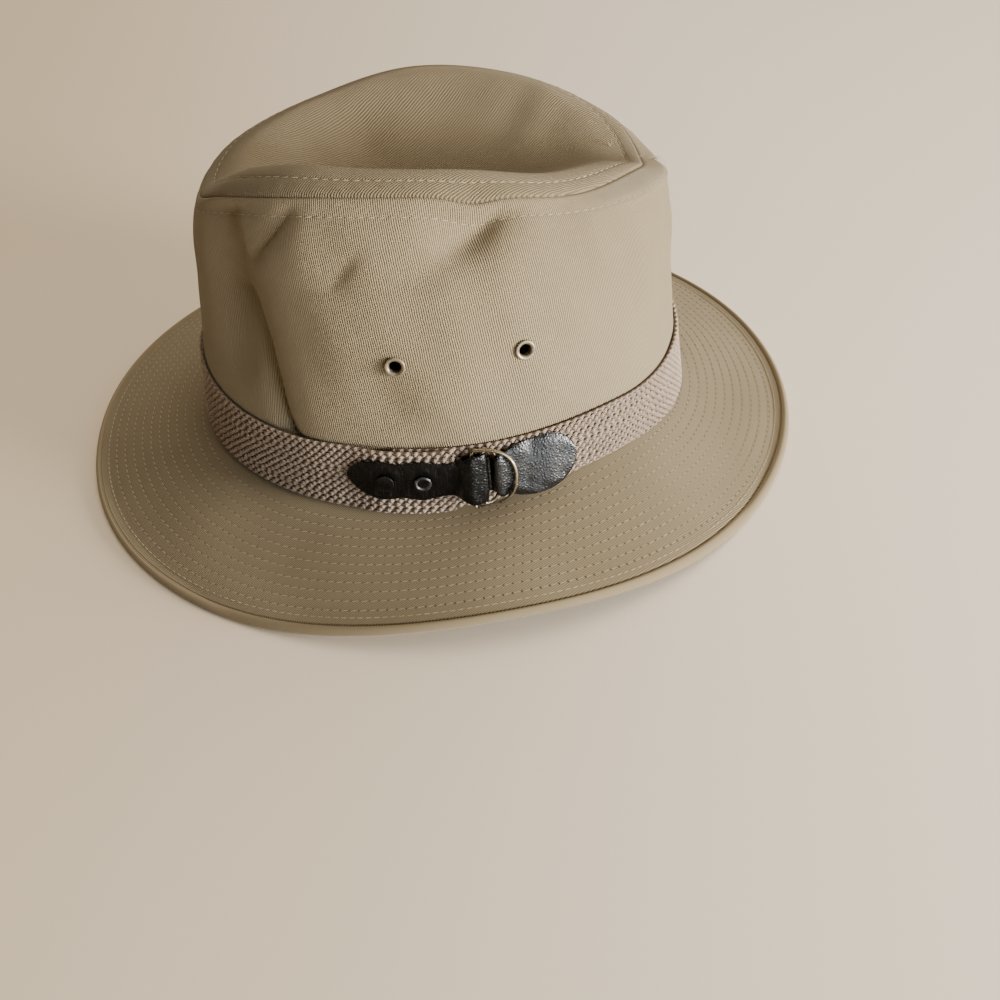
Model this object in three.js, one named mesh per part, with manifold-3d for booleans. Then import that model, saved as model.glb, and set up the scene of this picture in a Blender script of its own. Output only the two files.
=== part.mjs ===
// A sewn twill fedora resting brim-down, in millimetres with +Z up.
// The surface it rests on is z = 0, the front of the hat faces -X and the strap is on the -Y side.
// Angles run round the hat in degrees: 0 is the back, 90 the far side, 180 the front, 270 the strap side.

import * as THREE from 'three';
import { mergeVertices } from 'three/addons/utils/BufferGeometryUtils.js';
import Module from 'manifold-3d';

const GAP = 0.3;

// Brim
const BRIM_REACH = 153;
const BRIM_HALF = 137.3;
const BRIM_THICK = 2.2;
const SIDE_LIFT = 9.2;
const EDGE_PRESS = 1.6;
const EDGE_POWER = 8;

// Crown
const CROWN_LIFT = 14.25;
const CROWN_TILT = 1.03;
const CLOTH = 1.4;
const ROOT_RISE = 7;
const ROOT_RISE_ANGLE = 60;
const ROOT_RISE_SPREAD = 26;
const DENT_FLOOR = 86;

// Band
const BAND_TOP = 31;
const BAND_THICK = 1.6;
const BAND_START = -32;
const BAND_END = -9;
const LAP_FROM = -62;
const LAP_TO = -40;

// Strap and rings; "along" is measured round the band from the middle of the strap side, + to the back
const STRAP_MIDDLE = 18.1;
const STRAP_FOLLOW = 0.2;
const LEATHER = 1.0;
const WIRE = 1.4;
const RIVETS_ALONG = [-34.3, -21.0];
const EYELETS = [
  { angle: 253.5, height: 63.5 },
  { angle: 281.1, height: 64.5 },
  { angle: 106.5, height: 63.5 },
  { angle: 78.9, height: 64.5 },
];
const EYELET_BARREL = 2.5;

const STATIONS = 72;

// The crown wall from the brim up to the tip seam: share of the height, and the reach of its oval.
const WALL = [
  { share: 0.0, front: 101.0, back: 103.5, half: 84.5, square: 2.1 },
  { share: 0.3, front: 98.0, back: 98.0, half: 82.0, square: 2.1 },
  { share: 0.6, front: 94.5, back: 94.5, half: 77.0, square: 2.0 },
  { share: 0.85, front: 91.0, back: 92.0, half: 67.0, square: 2.0 },
  { share: 0.95, front: 88.5, back: 89.0, half: 60.0, square: 2.0 },
  { share: 1.0, front: 86.0, back: 84.5, half: 55.5, square: 2.0 },
];
const WALL_OUTSIDE = [0, 0.1, 0.2, 0.3, 0.4, 0.5, 0.6, 0.68, 0.76, 0.83, 0.89, 0.95, 1.0];
const WALL_INSIDE = [1.0, 0.94, 0.86, 0.76, 0.64, 0.5, 0.36, 0.18, 0];

// Height of the tip seam above the crown's root, every 30 degrees.
const SEAM = [
  { angle: 0, height: 93.0 },
  { angle: 30, height: 100.0 },
  { angle: 60, height: 106.5 },
  { angle: 90, height: 109.5 },
  { angle: 120, height: 104.0 },
  { angle: 150, height: 99.5 },
  { angle: 180, height: 96.0 },
  { angle: 210, height: 105.0 },
  { angle: 240, height: 114.0 },
  { angle: 270, height: 111.5 },
  { angle: 300, height: 106.5 },
  { angle: 330, height: 102.0 },
  { angle: 360, height: 93.0 },
];

// Dents pressed into the wall, bulges where the depth is negative; turn leans the long axis to the back.
const DENTS = [
  { name: 'near pinch', angle: 210, share: 0.66, turn: 0, length: 40, width: 16, depth: 9 },
  { name: 'far pinch', angle: 150, share: 0.66, turn: 0, length: 40, width: 16, depth: 9 },
  { name: 'front crease', angle: 225.5, share: 0.52, turn: -15, length: 34, width: 5, depth: 5 },
  { name: 'front ridge', angle: 221, share: 0.86, turn: 0, length: 16, width: 7, depth: -3 },
  { name: 'upper crease', angle: 228, share: 0.89, turn: 40, length: 9, width: 4.5, depth: 2.5 },
  { name: 'dimple', angle: 245.5, share: 0.84, turn: 0, length: 9, width: 8, depth: 2.5 },
  { name: 'side dent', angle: 275.5, share: 0.885, turn: 38, length: 18, width: 11, depth: 5 },
];

// The tip from its seam to its middle: climb above the seam, and share of the way down the dent.
const TIP = [
  { inward: 0.0, climb: 0.0, sink: 0.0 },
  { inward: 0.04, climb: 3.2, sink: 0.0 },
  { inward: 0.085, climb: 4.6, sink: 0.0 },
  { inward: 0.14, climb: 4.2, sink: 0.05 },
  { inward: 0.25, climb: 3.0, sink: 0.27 },
  { inward: 0.45, climb: 1.5, sink: 0.65 },
  { inward: 0.7, climb: 0.5, sink: 0.92 },
  { inward: 1.0, climb: 0.0, sink: 1.0 },
];
const TIP_OUTSIDE = [0.0, 0.04, 0.085, 0.14, 0.25, 0.4, 0.6, 0.82];
const TIP_INSIDE = [0.8, 0.5, 0.25, 0.1, 0.0];

// The brim's section, out over the top to the rolled hem and back underneath; lift is above its underside.
const BRIM_SECTION = [
  { across: 0.0, lift: 2.2 },
  { across: 0.3, lift: 2.2 },
  { across: 0.6, lift: 2.2 },
  { across: 0.865, lift: 2.2 },
  { across: 0.88, lift: 1.6 },
  { across: 0.9, lift: 2.4 },
  { across: 0.94, lift: 3.0 },
  { across: 0.98, lift: 2.5 },
  { across: 1.0, lift: 1.4 },
  { across: 0.985, lift: 0.3 },
  { across: 0.965, lift: 0.0 },
  { across: 0.9, lift: 0.0 },
  { across: 0.7, lift: 0.0 },
  { across: 0.35, lift: 0.0 },
  { across: 0.0, lift: 0.0 },
];

// Front tab: along the band from its tip to the fold round the bars and the tail underneath.
// "out" is the middle of the leather above the crown wall, half its half-width.
const STRAP_FRONT = [
  { along: -49.0, out: 4.2, half: 0.7 },
  { along: -47.2, out: 4.4, half: 3.6 },
  { along: -44.0, out: 4.5, half: 6.4 },
  { along: -40.0, out: 4.65, half: 8.2 },
  { along: -35.7, out: 4.65, half: 8.9 },
  { along: -31.5, out: 4.65, half: 8.3 },
  { along: -28.6, out: 4.65, half: 8.0 },
  { along: -25.6, out: 4.65, half: 8.3 },
  { along: -21.5, out: 4.65, half: 8.9 },
  { along: -17.0, out: 4.65, half: 8.2 },
  { along: -12.5, out: 4.65, half: 7.8 },
  { along: -8.5, out: 4.75, half: 8.0 },
  { along: -6.3, out: 5.5, half: 8.3 },
  { along: -4.0, out: 5.85, half: 8.6 },
  { along: -0.7, out: 5.85, half: 8.6 },
  { along: 0.9, out: 5.35, half: 8.6 },
  { along: 1.5, out: 4.3, half: 8.6 },
  { along: 0.9, out: 3.1, half: 8.5 },
  { along: -0.5, out: 2.7, half: 8.4 },
  { along: -7.2, out: 2.7, half: 8.2 },
];

// Back strap: from its end beside the fold, over the inner ring, under the outer ring and on to its tip.
const STRAP_BACK = [
  { along: 4.1, out: 2.5, half: 6.8 },
  { along: 4.15, out: 3.6, half: 6.8 },
  { along: 4.8, out: 4.7, half: 7.2 },
  { along: 6.2, out: 4.9, half: 8.4 },
  { along: 7.4, out: 4.65, half: 8.5 },
  { along: 8.6, out: 4.2, half: 8.5 },
  { along: 10.5, out: 3.8, half: 9.0 },
  { along: 13.0, out: 3.4, half: 9.9 },
  { along: 16.5, out: 2.9, half: 10.5 },
  { along: 20.0, out: 2.7, half: 10.7 },
  { along: 26.0, out: 2.7, half: 10.6 },
  { along: 29.6, out: 2.7, half: 9.9 },
  { along: 32.6, out: 2.7, half: 7.8 },
  { along: 34.7, out: 2.7, half: 4.9 },
  { along: 36.0, out: 2.7, half: 1.4 },
];

// D-rings: where the bar lies, how far the bow reaches, half the height, and how far out bar and bow are.
const RINGS = [
  { name: 'ring_outer', bar: -3.6, bow: 11.7, half: 11.4, barOut: 4.25, bowOut: 5.9 },
  { name: 'ring_inner', bar: -0.1, bow: 6.3, half: 9.7, barOut: 4.25, bowOut: 3.0 },
];
const BOW_POWER = 2.4;
const BAR_DEPTH = 2.0;
const BAR_POWER = 6;

// Rivet cap and eyelet, as turned profiles of radius and height above the face that each one sits on.
const RIVET_PROFILE = [
  { radius: 0, height: 0 },
  { radius: 3.1, height: 0 },
  { radius: 3.5, height: 0.35 },
  { radius: 3.4, height: 0.85 },
  { radius: 2.8, height: 1.15 },
  { radius: 2.0, height: 0.95 },
  { radius: 0, height: 0.8 },
];
const EYELET_PROFILE = [
  { radius: 2.1, height: 0.5 },
  { radius: 2.1, height: -2.1 },
  { radius: 3.2, height: -2.1 },
  { radius: 3.2, height: -1.75 },
  { radius: EYELET_BARREL, height: -1.75 },
  { radius: EYELET_BARREL, height: 0.35 },
  { radius: 3.6, height: 0.35 },
  { radius: 3.2, height: 0.9 },
  { radius: 2.5, height: 1.0 },
  { radius: 2.1, height: 0.5 },
];
const TURNED_SIDES = 16;

const rad = THREE.MathUtils.degToRad;
const smooth = THREE.MathUtils.smoothstep;

// A smooth curve through the columns of a table, as a function of its first column.
function curveThrough(rows, key, columns, round = false) {
  const at = rows.map((row) => row[key]);
  const values = rows.flatMap((row) => columns.map((column) => row[column]));
  const curve = new THREE.CubicInterpolant(at, values, columns.length);
  if (round) {
    curve.settings = { endingStart: THREE.WrapAroundEnding, endingEnd: THREE.WrapAroundEnding };
  }
  return (where) => {
    const found = Array.from(curve.evaluate(where));
    return Object.fromEntries(columns.map((column, i) => [column, found[i]]));
  };
}

const wallOval = curveThrough(WALL, 'share', ['front', 'back', 'half', 'square']);
const seamCurve = curveThrough(SEAM, 'angle', ['height'], true);
const tipCurve = curveThrough(TIP, 'inward', ['climb', 'sink']);

function seamHeight(angle) {
  return seamCurve(THREE.MathUtils.euclideanModulo(angle, 360)).height;
}

// The crown's root climbs a little where the brim bends, beside the back on both sides.
function rootRise(angle) {
  const fromBack = Math.abs(THREE.MathUtils.euclideanModulo(angle + 180, 360) - 180);
  const off = (fromBack - ROOT_RISE_ANGLE) / ROOT_RISE_SPREAD;
  return ROOT_RISE * Math.exp(-off * off);
}

// A point of an oval that may be squarer at its back and blunter at its front than an ellipse.
function ovalPoint(angle, oval) {
  const c = Math.cos(rad(angle));
  const s = Math.sin(rad(angle));
  const reach = c < 0 ? oval.front : oval.back;
  const bearing = Math.atan2(oval.half * s, reach * c);
  const power = THREE.MathUtils.lerp(oval.blunt ?? 2, oval.square, (1 + c) / 2);
  const across = Math.abs(Math.cos(bearing)) / reach;
  const side = Math.abs(Math.sin(bearing)) / oval.half;
  const radius = (across ** power + side ** power) ** (-1 / power);
  return new THREE.Vector2(radius * Math.cos(bearing), radius * Math.sin(bearing));
}

function dentDepth(angle, share) {
  let depth = 0;
  for (const dent of DENTS) {
    const round = THREE.MathUtils.euclideanModulo(angle - dent.angle + 180, 360) - 180;
    const u = rad(round) * 85;
    const v = (share - dent.share) * 107;
    const long = u * Math.sin(rad(dent.turn)) + v * Math.cos(rad(dent.turn));
    const wide = u * Math.cos(rad(dent.turn)) - v * Math.sin(rad(dent.turn));
    depth += dent.depth * Math.exp(-((long / dent.length) ** 2) - (wide / dent.width) ** 2);
  }
  return depth * (1 - smooth(share, 0.93, 1)) * smooth(share, 0.2, 0.34);
}

// The smooth outside of the crown wall, before its dents.
function wallBase(angle, share) {
  const flat = ovalPoint(angle, wallOval(share));
  const root = rootRise(angle);
  return new THREE.Vector3(flat.x, flat.y, root + share * (seamHeight(angle) - root));
}

function normalOf(surface, angle, share) {
  const low = Math.max(share - 0.01, 0);
  const high = Math.min(share + 0.01, 1);
  const round = surface(angle + 0.5, share).sub(surface(angle - 0.5, share));
  const up = surface(angle, high).sub(surface(angle, low));
  return round.cross(up).normalize();
}

function wallOuter(angle, share) {
  const normal = normalOf(wallBase, angle, share);
  return wallBase(angle, share).addScaledVector(normal, -dentDepth(angle, share));
}

function wallInner(angle, share) {
  return wallOuter(angle, share).addScaledVector(normalOf(wallOuter, angle, share), -CLOTH);
}

function shareAt(angle, height) {
  const root = rootRise(angle);
  return Math.max(0, (height - root) / (seamHeight(angle) - root));
}

function strapHeight(angle) {
  return STRAP_MIDDLE + STRAP_FOLLOW * rootRise(angle);
}

// The angle a given way round the band from the middle of the strap side.
function angleAt(along) {
  const steps = 60;
  let angle = 270;
  for (let i = 0; i < steps; i += 1) {
    const share = shareAt(angle, strapHeight(angle));
    const perDegree = wallBase(angle + 0.5, share).distanceTo(wallBase(angle - 0.5, share));
    angle += along / steps / perDegree;
  }
  return angle;
}

// A point beside the band: along it, up from its middle height, and out from the crown wall.
function besideBand(along, up, out) {
  const angle = angleAt(along);
  const share = shareAt(angle, strapHeight(angle) + up);
  return wallBase(angle, share).addScaledVector(normalOf(wallBase, angle, share), out);
}

// Joins equal rings of points into one closed skin, as a loop or with both ends closed by fans.
function loft(rings, looped) {
  const count = rings[0].length;
  const points = rings.flat();
  const faces = [];
  const last = looped ? rings.length : rings.length - 1;
  for (let r = 0; r < last; r += 1) {
    const here = r * count;
    const next = ((r + 1) % rings.length) * count;
    for (let i = 0; i < count; i += 1) {
      const j = (i + 1) % count;
      faces.push([here + i, next + i, next + j], [here + i, next + j, here + j]);
    }
  }
  if (!looped) {
    for (const ring of [0, rings.length - 1]) {
      const middle = new THREE.Vector3();
      rings[ring].forEach((point) => middle.addScaledVector(point, 1 / count));
      points.push(middle);
      for (let i = 0; i < count; i += 1) {
        const pair = [ring * count + i, ring * count + ((i + 1) % count)];
        faces.push([points.length - 1, ...(ring ? pair.reverse() : pair)]);
      }
    }
  }
  let volume = 0;
  for (const [a, b, c] of faces) {
    volume += points[a].dot(points[b].clone().cross(points[c]));
  }
  const geometry = new THREE.BufferGeometry().setFromPoints(points);
  geometry.setIndex(faces.flatMap((face) => (volume < 0 ? face.reverse() : face)));
  return geometry;
}

function angles(count) {
  return Array.from({ length: count }, (_, i) => (360 * i) / count);
}

function brimGeometry() {
  const outerOval = { front: BRIM_REACH, back: BRIM_REACH, half: BRIM_HALF, square: 2.03, blunt: 2.1 };
  const tilt = Math.tan(rad(CROWN_TILT));
  const rings = angles(STATIONS).map((angle) => {
    const inner = wallInner(angle, 0);
    const outer = ovalPoint(angle, outerOval);
    const root = CROWN_LIFT - inner.x * tilt + rootRise(angle) - BRIM_THICK;
    const raised = Math.abs(Math.sin(rad(angle))) ** EDGE_POWER;
    const edge = (SIDE_LIFT + EDGE_PRESS) * raised - EDGE_PRESS;
    return BRIM_SECTION.map(({ across, lift }) => {
      const under = Math.max(0, THREE.MathUtils.lerp(root, edge, across));
      const x = THREE.MathUtils.lerp(inner.x, outer.x, across);
      const y = THREE.MathUtils.lerp(inner.y, outer.y, across);
      return new THREE.Vector3(x, y, under + lift);
    });
  });
  return loft(rings, true);
}

function wallGeometry() {
  const rings = angles(STATIONS).map((angle) => {
    const up = WALL_OUTSIDE.map((share) => wallOuter(angle, share));
    const down = WALL_INSIDE.map((share) => wallInner(angle, share));
    up[0].z += GAP;
    down[down.length - 1].z = up[0].z;
    return [...up, ...down];
  });
  return loft(rings, true);
}

function tipOuter(angle, inward) {
  const edge = wallOuter(angle, 1);
  const { climb, sink } = tipCurve(inward);
  const height = edge.z + climb - sink * (edge.z - DENT_FLOOR);
  return new THREE.Vector3(edge.x * (1 - inward), edge.y * (1 - inward), height);
}

function tipNormal(angle, inward) {
  const low = Math.max(inward - 0.015, 0);
  const round = tipOuter(angle + 0.5, inward).sub(tipOuter(angle - 0.5, inward));
  return round.cross(tipOuter(angle, inward + 0.015).sub(tipOuter(angle, low))).normalize();
}

function tipGeometry() {
  const start = 0.008;
  const skin = (inward) => angles(STATIONS).map((angle) => tipOuter(angle, Math.max(inward, start)));
  const lining = (inward) => angles(STATIONS).map((angle) => {
    const at = Math.max(inward, start);
    return tipOuter(angle, at).addScaledVector(tipNormal(angle, at), -CLOTH);
  });
  return loft([...TIP_INSIDE.map(lining), ...TIP_OUTSIDE.map(skin)], false);
}

// How far the band's outer layer stands off where its ends overlap.
function lapLift(along) {
  return (BAND_THICK + GAP) * smooth(along, LAP_FROM, LAP_TO);
}

function bandGeometry() {
  const from = angleAt(BAND_START);
  const to = angleAt(BAND_END) + 360;
  const lapStart = angleAt(LAP_FROM) + 360;
  const lapEnd = angleAt(LAP_TO) + 360;
  const pitch = 360 / STATIONS;
  const turns = [from];
  for (let turn = Math.ceil((from + 1) / pitch) * pitch; turn < to - 1; turn += pitch) {
    turns.push(turn);
  }
  turns.push(to);
  const rings = turns.map((angle) => {
    const out = GAP + (BAND_THICK + GAP) * smooth(angle, lapStart, lapEnd);
    const foot = rootRise(angle) + 2 * GAP;
    const heights = [foot, (foot + BAND_TOP) / 2, BAND_TOP];
    const at = (height, offset) => {
      const share = shareAt(angle, height);
      return wallBase(angle, share).addScaledVector(normalOf(wallBase, angle, share), offset);
    };
    const inside = heights.map((height) => at(height, out));
    const outside = heights.map((height) => at(height, out + BAND_THICK)).reverse();
    return [...inside, ...outside];
  });
  return loft(rings, false);
}

// A strip of leather along a table of stations, with softened edges.
function strapGeometry(rows, lapped) {
  const edge = 0.25;
  const rings = rows.map((row, i) => {
    const before = rows[Math.max(i - 1, 0)];
    const after = rows[Math.min(i + 1, rows.length - 1)];
    const run = new THREE.Vector2(after.along - before.along, after.out - before.out).normalize();
    const section = [
      [row.half - edge, 0.5], [row.half, 0.2], [row.half, -0.2], [row.half - edge, -0.5],
      [edge - row.half, -0.5], [-row.half, -0.2], [-row.half, 0.2], [edge - row.half, 0.5],
    ];
    const sag = lapped ? lapLift(row.along) - lapLift(LAP_TO) : 0;
    return section.map(([up, level]) => {
      const off = level * LEATHER;
      return besideBand(row.along - run.y * off, up, row.out + sag + run.x * off);
    });
  });
  return loft(rings, false);
}

// A bent-wire ring: a rounded straight bar on one side and a bow on the other.
function ringGeometry({ bar, bow, half, barOut, bowOut }) {
  const middle = bar + BAR_DEPTH;
  const signed = (value, power) => Math.sign(value) * Math.abs(value) ** (2 / power);
  const track = angles(36).map((turn) => {
    const c = Math.cos(rad(turn + 5));
    const s = Math.sin(rad(turn + 5));
    const power = c < 0 ? BAR_POWER : BOW_POWER;
    const along = middle + signed(c, power) * (c < 0 ? BAR_DEPTH : bow - middle);
    return new THREE.Vector2(along, half * signed(s, power));
  });
  const rings = track.map((point, i) => {
    const ahead = track[(i + 1) % track.length];
    const behind = track[(i + track.length - 1) % track.length];
    const run = ahead.clone().sub(behind).normalize();
    const out = THREE.MathUtils.mapLinear(point.x, bar, bow, barOut, bowOut);
    return angles(6).map((turn) => {
      const aside = (Math.cos(rad(turn)) * WIRE) / 2;
      const lift = (Math.sin(rad(turn)) * WIRE) / 2;
      return besideBand(point.x + run.y * aside, point.y - run.x * aside, out + lift);
    });
  });
  return loft(rings, true);
}

function turned(profile) {
  const points = profile.map(({ radius, height }) => new THREE.Vector2(radius, height));
  const lathe = new THREE.LatheGeometry(points, TURNED_SIDES);
  lathe.deleteAttribute('normal');
  lathe.deleteAttribute('uv');
  return mergeVertices(lathe);
}

// Cuts round holes through a skin along the given axes.
async function withHoles(geometry, holes, radius) {
  const wasm = await Module();
  wasm.setup();
  const solid = (shape) => {
    const merged = mergeVertices(shape);
    return new wasm.Manifold(new wasm.Mesh({
      numProp: 3,
      vertProperties: merged.attributes.position.array,
      triVerts: merged.index.array,
    }));
  };
  let body = solid(geometry);
  for (const { point, normal } of holes) {
    const drill = new THREE.CylinderGeometry(radius, radius, 12, TURNED_SIDES);
    drill.deleteAttribute('normal');
    drill.deleteAttribute('uv');
    drill.applyQuaternion(new THREE.Quaternion().setFromUnitVectors(THREE.Object3D.DEFAULT_UP, normal));
    drill.translate(point.x, point.y, point.z);
    body = body.subtract(solid(drill));
  }
  const mesh = body.getMesh();
  const cut = new THREE.BufferGeometry();
  cut.setAttribute('position', new THREE.BufferAttribute(mesh.vertProperties, mesh.numProp));
  cut.setIndex(new THREE.BufferAttribute(mesh.triVerts, 1));
  return cut;
}

function piece(name, geometry, colour, roughness, metalness = 0) {
  const material = new THREE.MeshStandardMaterial({ color: colour, roughness, metalness });
  geometry.computeVertexNormals();
  const mesh = new THREE.Mesh(geometry, material);
  mesh.name = name;
  return mesh;
}

// Stands a turned piece on a point with its axis along a normal.
function stand(mesh, point, normal) {
  mesh.quaternion.setFromUnitVectors(THREE.Object3D.DEFAULT_UP, normal);
  mesh.position.copy(point);
  return mesh;
}

const KHAKI = 0x85734f;
const BRIM_KHAKI = 0x8a7852;
const WEBBING = 0x9a8272;
const BLACK_LEATHER = 0x1c1a19;
const ANTIQUE_BRASS = 0x8a6f4a;
const BLACK_METAL = 0x141414;
const PAINTED_METAL = 0x6f6045;

const hat = new THREE.Group();
hat.name = 'fedora';
hat.add(piece('brim', brimGeometry(), BRIM_KHAKI, 0.95));

const crown = new THREE.Group();
crown.position.z = CROWN_LIFT;
crown.rotation.y = rad(CROWN_TILT);
hat.add(crown);

const holes = EYELETS.map(({ angle, height }) => {
  const share = shareAt(angle, height);
  return { point: wallOuter(angle, share), normal: normalOf(wallOuter, angle, share) };
});
const wall = await withHoles(wallGeometry(), holes, EYELET_BARREL + GAP);
crown.add(piece('crown_side', wall, KHAKI, 0.95));
crown.add(piece('crown_tip', tipGeometry(), KHAKI, 0.95));
holes.forEach(({ point, normal }, i) => {
  const eyelet = piece(`eyelet_${i + 1}`, turned(EYELET_PROFILE), PAINTED_METAL, 0.5, 0.4);
  crown.add(stand(eyelet, point, normal));
});

crown.add(piece('hat_band', bandGeometry(), WEBBING, 0.9));
crown.add(piece('strap_front', strapGeometry(STRAP_FRONT, true), BLACK_LEATHER, 0.5));
crown.add(piece('strap_back', strapGeometry(STRAP_BACK, false), BLACK_LEATHER, 0.5));
for (const ring of RINGS) {
  crown.add(piece(ring.name, ringGeometry(ring), ANTIQUE_BRASS, 0.4, 0.9));
}

const rivetOut = 2 * (GAP + BAND_THICK) + 2 * GAP + LEATHER;
RIVETS_ALONG.forEach((along, i) => {
  const rivet = piece(['rivet_front', 'rivet_back'][i], turned(RIVET_PROFILE), BLACK_METAL, 0.35, 0.7);
  const foot = besideBand(along, 0, rivetOut);
  const normal = besideBand(along, 0, rivetOut + 1).sub(foot).normalize();
  crown.add(stand(rivet, foot, normal));
});

export default hat;
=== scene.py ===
"""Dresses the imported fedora: sewn twill crown and brim, woven band, leather strap, wire rings, rivets, eyelets.

Angles run round the hat in degrees: 0 is the back, 90 the far side, 180 the front, 270 the strap side.
Sizes are in millimetres until a piece is written into Blender, which works in metres.
"""

import math

import bpy
import numpy as np
from mathutils import Matrix, Vector


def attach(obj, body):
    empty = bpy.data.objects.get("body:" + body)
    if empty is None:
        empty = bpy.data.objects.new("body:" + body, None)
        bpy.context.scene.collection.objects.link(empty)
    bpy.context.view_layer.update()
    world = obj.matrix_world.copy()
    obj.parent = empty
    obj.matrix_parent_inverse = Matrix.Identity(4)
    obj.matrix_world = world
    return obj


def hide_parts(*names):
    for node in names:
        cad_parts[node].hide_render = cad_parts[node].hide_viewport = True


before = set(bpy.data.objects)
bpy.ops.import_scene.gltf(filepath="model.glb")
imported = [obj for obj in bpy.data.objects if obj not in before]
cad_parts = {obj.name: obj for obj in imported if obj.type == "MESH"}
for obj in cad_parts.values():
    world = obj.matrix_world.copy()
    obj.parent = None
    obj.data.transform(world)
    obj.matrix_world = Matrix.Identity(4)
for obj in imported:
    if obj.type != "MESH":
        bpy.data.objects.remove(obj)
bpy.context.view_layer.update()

MM = 0.001

# Hat sizes; they are those of the solids, but the band's lap is shorter and the rings lean more
GAP = 0.3
CLOTH = 1.4
# how deep the foot of the crown goes into the brim that it is sewn to
FOOT_SEWN_IN = 1.2
# how far the top panel's inner edge is turned down behind the wall at their seam
SEAM_TURNED_IN = 1.5
# where the top panel ends, as a share of the way from the seam to its middle
TIP_EDGE = 0.003
BRIM_REACH = 153.0
BRIM_HALF = 137.3
BRIM_THICK = 2.2
SIDE_LIFT = 9.2
EDGE_PRESS = 1.6
CROWN_LIFT = 14.25
CROWN_TILT = math.radians(1.03)
ROOT_RISE = 7.0
DENT_FLOOR = 86.0
BAND_TOP = 31.0
BAND_THICK = 1.6
BAND_START = -32.0
BAND_END = -9.0
LAP_FROM = -50.0
LAP_TO = -34.0
STRAP_MIDDLE = 18.1
STRAP_FOLLOW = 0.2
RING_LEAN = 0.21
LEATHER = 1.0
WIRE = 1.4
RIVETS_ALONG = (-34.3, -21.0)
RIVET_OUT = 5.4
# angle and height of each eyelet, the radius of its hole and the length of the punch
EYELETS = ((253.5, 63.5), (281.1, 64.5), (106.5, 63.5), (78.9, 64.5))
EYELET_HOLE = 2.75
PUNCH = 9.0
# length that stands for one share of the wall's height, and for one radian round it
WALL_TALL = 107.0
WALL_ROUND = 85.0
# the same on the map of the wall's cloth
CLOTH_ROUND = 88.0
# lengths that stand for one share near the tip seam, on the wall and on the top panel
SEAM_SPAN = 150.0
TIP_SPAN = 72.0

# share of the height, reach to the front, reach to the back, half width, squareness at the back
WALL = np.array(
    [
        (0.0, 101.0, 103.5, 84.5, 2.1),
        (0.3, 98.0, 98.0, 82.0, 2.1),
        (0.6, 94.5, 94.5, 77.0, 2.0),
        (0.85, 91.0, 92.0, 67.0, 2.0),
        (0.95, 88.5, 89.0, 60.0, 2.0),
        (1.0, 86.0, 84.5, 55.5, 2.0),
    ]
)
# height of the tip seam every 30 degrees
SEAM = np.array([93.0, 100, 106.5, 109.5, 104, 99.5, 96, 107.5, 114, 113.4, 105.6, 101, 93])
# how far the seam sags above the dent in the strap side, and where
SEAM_DIP = 2.6
SEAM_DIP_AT = 273.0
# how far the top of the wall rolls in at the back
BACK_ROLL = 4.0
# angle, share, turn, length, width, depth
DENTS = (
    (210, 0.66, 0, 40, 16, 9),
    (150, 0.66, 0, 40, 16, 9),
)
# inward, climb above the seam, share of the way down the dent
TIP = np.array(
    [
        (0.0, 0.0, 0.0),
        (0.04, 2.7, 0.0),
        (0.085, 4.7, 0.0),
        (0.13, 5.7, 0.0),
        (0.18, 6.0, 0.01),
        (0.26, 5.0, 0.12),
        (0.38, 3.2, 0.42),
        (0.55, 1.4, 0.76),
        (0.75, 0.4, 0.95),
        (1.0, 0.0, 1.0),
    ]
)
# angle, and how much of its climb the lip of the top panel has there
TIP_CLIMB = np.array(
    [
        (0.0, 0.12),
        (20.0, 0.22),
        (45.0, 0.9),
        (90.0, 1.0),
        (180.0, 1.0),
        (200.0, 1.15),
        (225.0, 1.2),
        (245.0, 0.85),
        (270.0, 0.8),
        (295.0, 0.76),
        (312.0, 0.62),
        (328.0, 0.42),
        (345.0, 0.2),
        (360.0, 0.12),
    ]
)
# angle, inward, length and width in millimetres, depth of the soft dimples in the top panel
TIP_DIMPLES = (
    (50.0, 0.30, 11, 6, 0.7),
    (40.0, 0.24, 9, 6, -0.4),
    (31.0, 0.30, 8, 6, 0.5),
    (120.0, 0.35, 16, 9, 0.5),
)
# along, out from the crown wall, half width
STRAP_FRONT = np.array(
    [
        (-49.0, 4.2, 0.7),
        (-47.2, 4.4, 3.6),
        (-44.0, 4.5, 6.4),
        (-40.0, 4.65, 8.2),
        (-35.7, 4.65, 8.9),
        (-31.5, 4.65, 8.3),
        (-28.6, 4.65, 7.7),
        (-25.6, 4.65, 8.2),
        (-21.5, 4.65, 8.9),
        (-17.0, 4.65, 8.0),
        (-12.5, 4.65, 7.3),
        (-8.5, 4.75, 7.7),
        (-6.3, 5.5, 8.3),
        (-4.0, 5.85, 9.3),
        (-0.7, 5.85, 9.5),
        (0.9, 5.35, 9.5),
        (1.5, 4.3, 9.4),
        (0.9, 3.1, 9.0),
        (-0.5, 2.7, 8.6),
        (-7.2, 2.7, 8.2),
    ]
)
STRAP_BACK = np.array(
    [
        (2.0, 2.35, 6.6),
        (3.4, 2.45, 6.8),
        (4.2, 3.4, 6.9),
        (4.9, 4.65, 7.4),
        (6.2, 4.9, 8.4),
        (7.4, 4.65, 8.5),
        (8.6, 4.2, 8.5),
        (10.5, 3.8, 9.0),
        (13.0, 3.4, 9.9),
        (16.5, 2.9, 10.5),
        (20.0, 2.7, 10.7),
        (26.0, 2.7, 10.3),
        (29.6, 2.7, 9.2),
        (32.6, 2.7, 6.9),
        (34.7, 2.7, 4.3),
        (36.0, 2.7, 1.2),
    ]
)
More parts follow.
